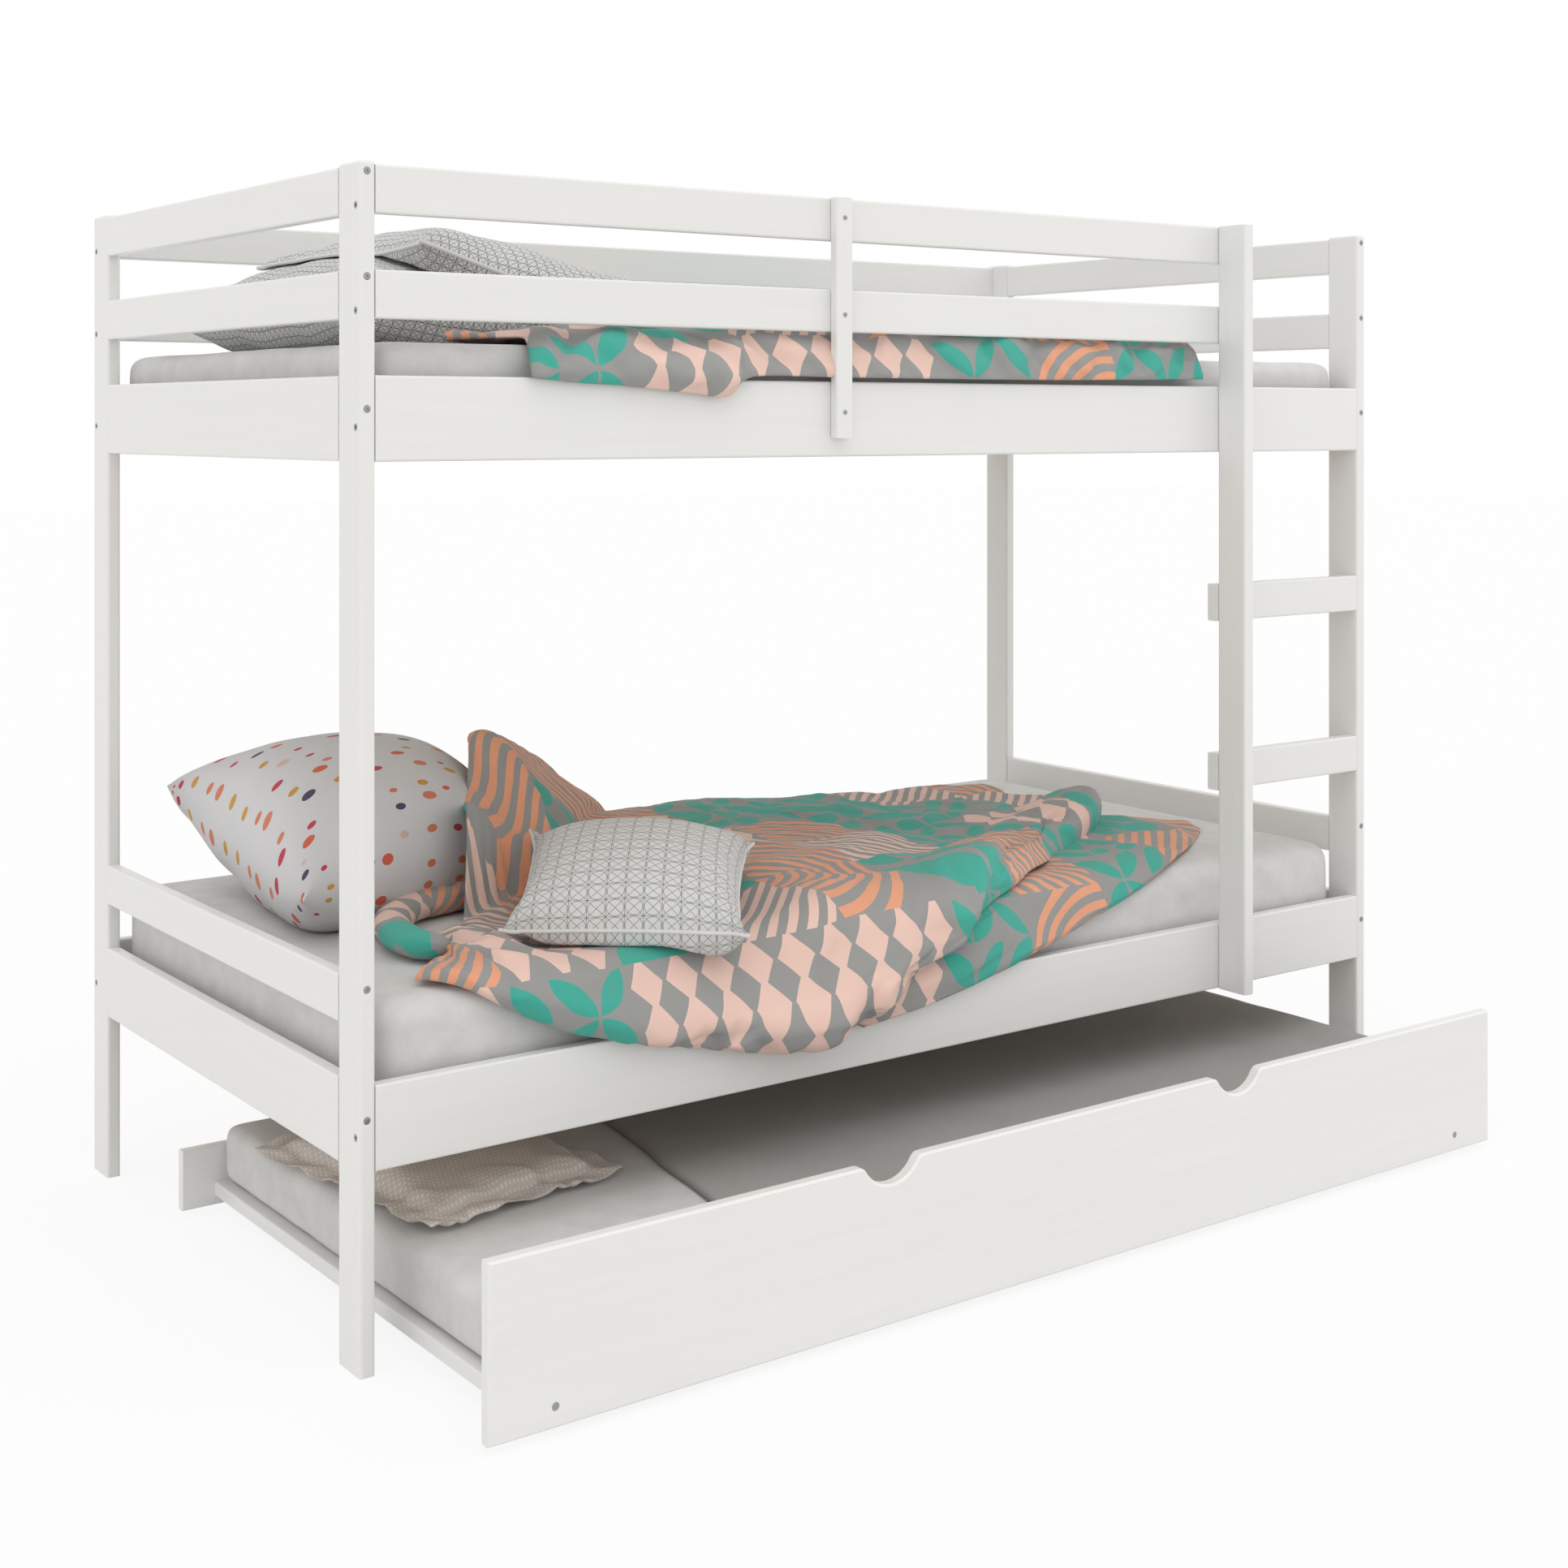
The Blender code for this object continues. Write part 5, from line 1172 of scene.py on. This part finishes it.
def makeDuvet(name, bunk, look, extra, support=lambda x, y: farBelow):
    # extra says what stands at a spot: lift under it, more filling, share of filling left and the rim's width
    outline, path, seed = patch(look), drapePath(bunk), look["seed"]
    pad = Pad(look["cells"])
    for i, j in pad.spots():
        pad.uvs[i, j] = outline(i / pad.columns, 1 - (1 - j / pad.rows) ** look["crowding"])
    pad.uvs *= bunk["scale"]
    edge = np.concatenate([pad.uvs[:, 0], pad.uvs[-1, :], pad.uvs[::-1, -1], pad.uvs[0, ::-1]])
    fine = np.concatenate([edge[:-1] + (edge[1:] - edge[:-1]) * share for share in (0, 0.34, 0.67)])
    for i, j in pad.spots():
        spot = pad.uvs[i, j]
        x = bunk["left"] + spot[0]
        (y, z), normal = path(bunk["rounding"] - spot[1])
        toEdge = 0.0 if pad.atBorder(i, j) else float(np.sqrt(((fine - spot) ** 2).sum(1).min()))
        lift, rise, share, rim = extra(spot)
        puff = 1 + 0.22 * wobble(spot, 0.16, seed) + 0.12 * wobble(spot, 0.07, seed + 5)
        rounded = roundRim(toEdge, rim)
        thickness = (look["filling"] * puff * share + rise) * rounded
        if toEdge > 0:
            waves = (spot[0] + spot[1]) * math.tau / crumple["puckerLength"]
            waves += 4 * wobble(spot, 0.06, seed + 8)
            pucker = (0.5 + 0.5 * math.sin(waves)) * closeTo(toEdge, crumple["puckerReach"]) * rounded
            thickness += share * smoothStep(toEdge / rim) * creaseAt(spot, seed)
            thickness -= crumple["puckerDepth"] * pucker
            thickness = max(thickness, crumple["thinnest"] * rounded)
        way = np.array((0, *normal))
        pad.lower[i, j] = np.array((x, y, max(z, support(x, y)))) + lift * way
        pad.upper[i, j] = pad.lower[i, j] + thickness * way
    obj = pad.makeObject(name, materials["duvet"])
    most = np.zeros(len(obj.data.vertices))
    most[pad.above] = np.minimum(look["swell"], 0.6 * np.linalg.norm(pad.upper - pad.lower, axis=2))
    most[pad.below] = 0
    billow(obj, pad.below.ravel(), most, crumple)
    refine(obj)
    finishSoft(obj, "bed", "duvet_cloth", look["fill"], look["node"])
    return obj


def lowerExtra(bunk):
    look, scale = lowerDuvet, Vector(bunk["scale"])
    start, end, pinch, peak, hollow, pressed = (
        Vector(shares) * scale for shares in (look["foldStart"], look["foldEnd"], look["pinch"], look["peak"],
                                              look["hollow"], cushion["centre"]))
    # along the rolled edge, and across it towards the duvet's middle
    length, run = (end - start).length, (end - start).normalized()
    across = Vector((run.y, -run.x))
    ridge = spotsOn(curveThrough(look["ridge"], scale), 30)

    def extra(spot):
        offset, fromPinch = Vector(spot) - start, Vector(spot) - pinch
        aside, down = abs(offset.dot(across)), offset.dot(run) / length
        beside = closeTo(aside, look["flapReach"]) * smoothStep((down + 0.12) / 0.15)
        roll = closeTo(abs(aside - 0.035), look["rollReach"]) * smoothStep((down + 0.75) / 0.5)
        rise = look["rollRise"] * roll * (1 - 0.55 * smoothStep(down))
        toCushion, toHollow = ((Vector(spot) - other).length for other in (pressed, hollow))
        share = 1 - look["pressed"] * smoothStep(2 - 2 * toCushion / look["pressedReach"])
        share *= 1 - 0.85 * smoothStep(1.6 - toHollow / look["hollowReach"])
        rim = look["rim"] + (look["rolledRim"] - look["rim"]) * closeTo(aside, 0.08)
        near = closeTo(fromPinch.length, look["pinchReach"]) * smoothStep(fromPinch.length / 0.03)
        angle = math.atan2(fromPinch.y, fromPinch.x)
        rise += look["pinchDepth"] * near * (0.5 + 0.5 * math.cos(look["pinchFolds"] * angle))
        rise += look["peakRise"] * closeTo((Vector(spot) - peak).length, look["peakReach"])
        toRidge, number = nearestOf(ridge, spot)
        along = smoothStep(number / 8) * smoothStep((30 - number) / 10)
        rise += look["ridgeRise"] * along * closeTo(toRidge, look["ridgeReach"])
        return look["flapLift"] * beside, rise, share, rim

    return extra


def upperExtra(bunk):
    look = upperDuvet
    folds = [spotsOn(curveThrough(path, bunk["scale"]), 24) for path in look["folds"]]

    def extra(spot):
        rise = 0.0
        for fold in folds:
            away, number = nearestOf(fold, spot)
            raised = closeTo(away, look["foldReach"]) - 0.35 * closeTo(away, look["troughReach"])
            rise += look["foldRise"] * smoothStep((24 - number) / 14) * raised
        return 0.0, rise, 1.0, look["rim"]

    return extra


def makeRolledMouth(bunk):
    # the duvet's open end, rolled back on itself in a loop that lies on the mattress
    look = rolledMouth
    curve = curveThrough(look["path"], bunk["scale"])
    steps, sides = look["steps"], look["sides"]
    base = bunk["top"] + gap
    shape = bmesh.new()
    layer = shape.loops.layers.uv.new("UVMap")
    rings, uvs = [], []
    girth = math.pi * (look["width"] + look["height"]) / 2
    run = 0.0
    for share in (i / steps for i in range(steps + 1)):
        spot = curve(share)
        ahead = (curve(min(share + 0.01, 1)) - curve(max(share - 0.01, 0))).normalized()
        run += (spot - curve(max(share - 1 / steps, 0))).length
        swell = math.sqrt(max(1 - (2 * share - 1) ** 10, 0.02))
        swell *= 1 + 0.14 * wobble((share * 2.6, 0.3), 0.35, 14.0)
        ring = []
        for k in range(sides):
            turn = math.tau * k / sides
            out = swell * (1 + 0.10 * wobble((share * 5, math.cos(turn), math.sin(turn)), 0.55, 3.0)) / 2
            width, height = look["width"] * out * math.cos(turn), look["height"] * out * math.sin(turn)
            pleat = math.sin(run * 190 + 2.5 * math.sin(turn) + 3 * wobble((run, k / sides), 0.05, 2.0))
            height += look["crumple"] * pleat * closeTo(share, 0.5) * 0.5 * (1 + math.sin(turn))
            place = (bunk["left"] + spot.x + ahead.y * width, bunk["front"] + spot.y - ahead.x * width)
            middle = base + look["lift"] + look["height"] / 2
            ring.append(shape.verts.new((*place, max(middle + height, base))))
        rings.append(ring + ring[:1])
        uvs.append([(run, girth * k / sides) for k in range(sides + 1)])
    for i, k in np.ndindex(steps, sides):
        corners = ((i, k), (i + 1, k), (i + 1, k + 1), (i, k + 1))
        addFace(shape, layer, *([grid[ring][side] for ring, side in corners] for grid in (rings, uvs)))
    shape.faces.new(rings[0][:-1])
    shape.faces.new(rings[-1][:-1])
    bmesh.ops.recalc_face_normals(shape, faces=shape.faces)
    obj = closedObject("lower_duvet_mouth", shape, materials["duvet"])
    refine(obj)
    finishSoft(obj, "bed", "duvet_cloth", look["fill"], "lower_duvet")


def tentOver(pillow, bunk):
    # the pillow under the duvet, and the slope that the duvet spans from the pillow's crest to the mattress
    tree = treeOf(pillow)
    lowStart, lowEnd = (Vector(point) for point in tent["low"])
    footRun = (lowEnd - lowStart).normalized()
    upSlope = Vector((-footRun.y, footRun.x))
    slopeLength = (Vector(tent["peak"]) - lowStart).dot(upSlope)

    def support(x, y):
        height = highestNear(tree, x, y, tent["pillowReach"], farBelow)
        height = height + drape["gap"] if height > bunk["top"] else farBelow
        offset = Vector((x, y)) - lowStart
        up, along = offset.dot(upSlope) / slopeLength, offset.dot(footRun) / (lowEnd - lowStart).length
        if up > 0 and along > 0:
            up = min(up, 1.0)
            slope = tent["foot"] + (tent["crest"] - tent["foot"]) * up - tent["sag"] * math.sin(math.pi * up)
            height = max(height, slope - 0.4 * max(0.25 - along, 0))
        # the cushion's far corner lies against the slope and holds it back
        away = (Vector((x, y)) - Vector(tent["cornerSpot"])).length
        return min(height, tent["cornerCap"] + 1.4 * max(away - tent["cornerReach"], 0))

    return support


def makeLowerBedding():
    bunk = bunks["lower"]
    pillow = makePillow("lower_pillow_spotted", bunk, lowerPillow)
    makeDuvet("lower_duvet_flap", bunk, flap, lambda spot: (0.0, 0.0, 1.0, flap["rim"]))
    duvet = makeDuvet("lower_duvet_quilt", bunk, lowerDuvet, lowerExtra(bunk), tentOver(pillow, bunk))
    makeRolledMouth(bunk)
    makePillow("lattice_cushion", bunk, cushion, treeOf(duvet))
    print("lower bedding is laid")


def makeUpperBedding():
    bunk = bunks["upper"]
    lying = makePillow("upper_pillow_lying", bunk, lyingPillow)
    makePillow("upper_pillow_leaning", bunk, topPillow, treeOf(lying))
    makeDuvet("upper_duvet_quilt", bunk, upperDuvet, upperExtra(bunk))
    print("upper bedding is laid")


makeLowerBedding()
makeUpperBedding()

# trundle's pillow and blanket

trundlePillow = {"shares": (0.1984, 0.5015), "rise": 0.042, "centre": (0.096, 0.592), "turn": 8.0,
                 "lift": 0.020, "cells": (64, 92), "flange": 0.036, "flangeThickness": 0.0018,
                 "flangeDrop": 0.007, "ruffle": 0.0040, "fill": 0.35, "stitch": 0.0030,
                 "stitchWidth": 0.006, "cornerPull": 0.055, "folds": 0.0030,
                 "gathers": ((0.075, -0.245), (-0.120, -0.245)), "gatherReach": 0.060, "gatherDepth": 0.007}
blanket = {"thickness": 0.006, "leftShares": (0.210, 0.298), "endDrop": 0.040, "sideClearance": 0.006,
           "cells": (120, 56), "ripple": 0.0015, "borderShare": 0.45, "hemWaviness": 0.004}


def makeTrundlePillow():
    look = trundlePillow
    low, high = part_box("trundle_mattress")
    front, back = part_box("trundle_front_panel")[1].y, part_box("trundle_back_panel")[0].y
    length, width = high.x - low.x, back - front
    alongX, alongY = look["centre"]
    centre = Vector((low.x + alongX * length, front + alongY * width, high.z + look["lift"]))
    sizeX, sizeY = look["shares"][0] * length, look["shares"][1] * width
    coreX, coreY = sizeX / 2 - look["flange"], sizeY / 2 - look["flange"]
    turn = Matrix.Rotation(math.radians(look["turn"]), 3, "Z")
    pad = Pad(look["cells"])
    for i, j in pad.spots():
        x, y = sizeX * (i / pad.columns - 0.5), sizeY * (j / pad.rows - 0.5)
        a, b = min(abs(x) / coreX, 1), min(abs(y) / coreY, 1)
        crown = look["rise"] * max((1 - a ** 2.6) * (1 - b ** 2.6), 0) ** 0.48
        fromStitch = max(abs(x) - coreX, abs(y) - coreY)
        crown -= look["stitch"] * math.exp(-(fromStitch / look["stitchWidth"]) ** 2)
        for gatherX, gatherY in look["gathers"]:
            pulled = closeTo(math.hypot(x - gatherX, y - gatherY), look["gatherReach"])
            crown += look["gatherDepth"] * pulled * math.sin(260 * (x - gatherX) + 90 * (y - gatherY))
        out = smoothStep(max(abs(x) / coreX, abs(y) / coreY) * 3 - 2)
        ruffle = look["ruffle"] * out * math.sin(60 * (x + y) + 3 * wobble((x, y), 0.04, 2.0))
        trim = 1 - look["cornerPull"] * (4 * abs(x * y) / (sizeX * sizeY)) ** 7
        pulled = Vector((x * (1 - 0.035 * (1 - b * b) * a), y * (1 - 0.03 * (1 - a * a) * b), 0))
        point = turn @ (pulled * trim) + centre
        middle = centre.z - 0.012 * (1 - out) - look["flangeDrop"] * out + ruffle
        bottom = max(middle - crown * 0.55 - look["flangeThickness"] * 0.5, high.z + gap)
        top = max(middle + crown * 1.05 + look["folds"] * wobble((x, y), 0.045, 6.0) * (1 - out), bottom)
        top += look["flangeThickness"]
        pad.upper[i, j] = (point.x, point.y, (bottom + top) / 2 if pad.atBorder(i, j) else top)
        pad.lower[i, j] = (point.x, point.y, bottom)
        pad.uvs[i, j] = (x, y)
    obj = pad.makeObject("trundle_pillow_dotted", materials["dotted"])
    refine(obj)
    finishSoft(obj, "trundle", "dotted_cloth", look["fill"], "trundle_pillow")


def makeBlanket():
    look = blanket
    low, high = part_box("trundle_mattress")
    rounding = mattress["rounding"]["trundle"]
    bend = rounding + drape["gap"]
    quarter = bend * math.pi / 2
    inset = look["sideClearance"] + rounding
    width = high.y - low.y - 2 * inset
    pad = Pad(look["cells"])
    for i, j in pad.spots():
        v = j / pad.rows
        leftShare = look["leftShares"][0] * (1 - v) + look["leftShares"][1] * v
        left = low.x + leftShare * (high.x - low.x) + look["hemWaviness"] * wobble((0, v * 0.7), 0.10, 8.0)
        level = high.x - rounding - left
        run = (1 - (1 - i / pad.columns) ** 1.3) * (level + quarter + look["endDrop"] - bend)
        if run <= level:
            place = Vector((left + run, 0, high.z + gapBeforeBend(level - run)))
            normal = Vector((0, 0, 1))
        else:
            angle = min((run - level) / bend, math.pi / 2)
            normal = Vector((math.sin(angle), 0, math.cos(angle)))
            drop = max(run - level - quarter, 0)
            place = Vector((high.x - rounding, 0, high.z - rounding - drop)) + bend * normal
        place.y = low.y + inset + v * width
        ripple = 1 + wobble(place[:2], 0.13, 4.0) + 0.5 * wobble(place[:2], 0.05, 9.0)
        thickness = look["thickness"] + look["ripple"] * ripple
        if pad.atBorder(i, j):
            thickness = look["thickness"] * look["borderShare"]
        pad.lower[i, j] = place
        pad.upper[i, j] = place + thickness * normal
        pad.uvs[i, j] = (run, v * width)
    obj = pad.makeObject("trundle_blanket_sheet", materials["blanket"])
    declare(obj, "trundle")
    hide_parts("trundle_blanket")


makeTrundlePillow()
makeBlanket()
print("trundle bedding is laid")
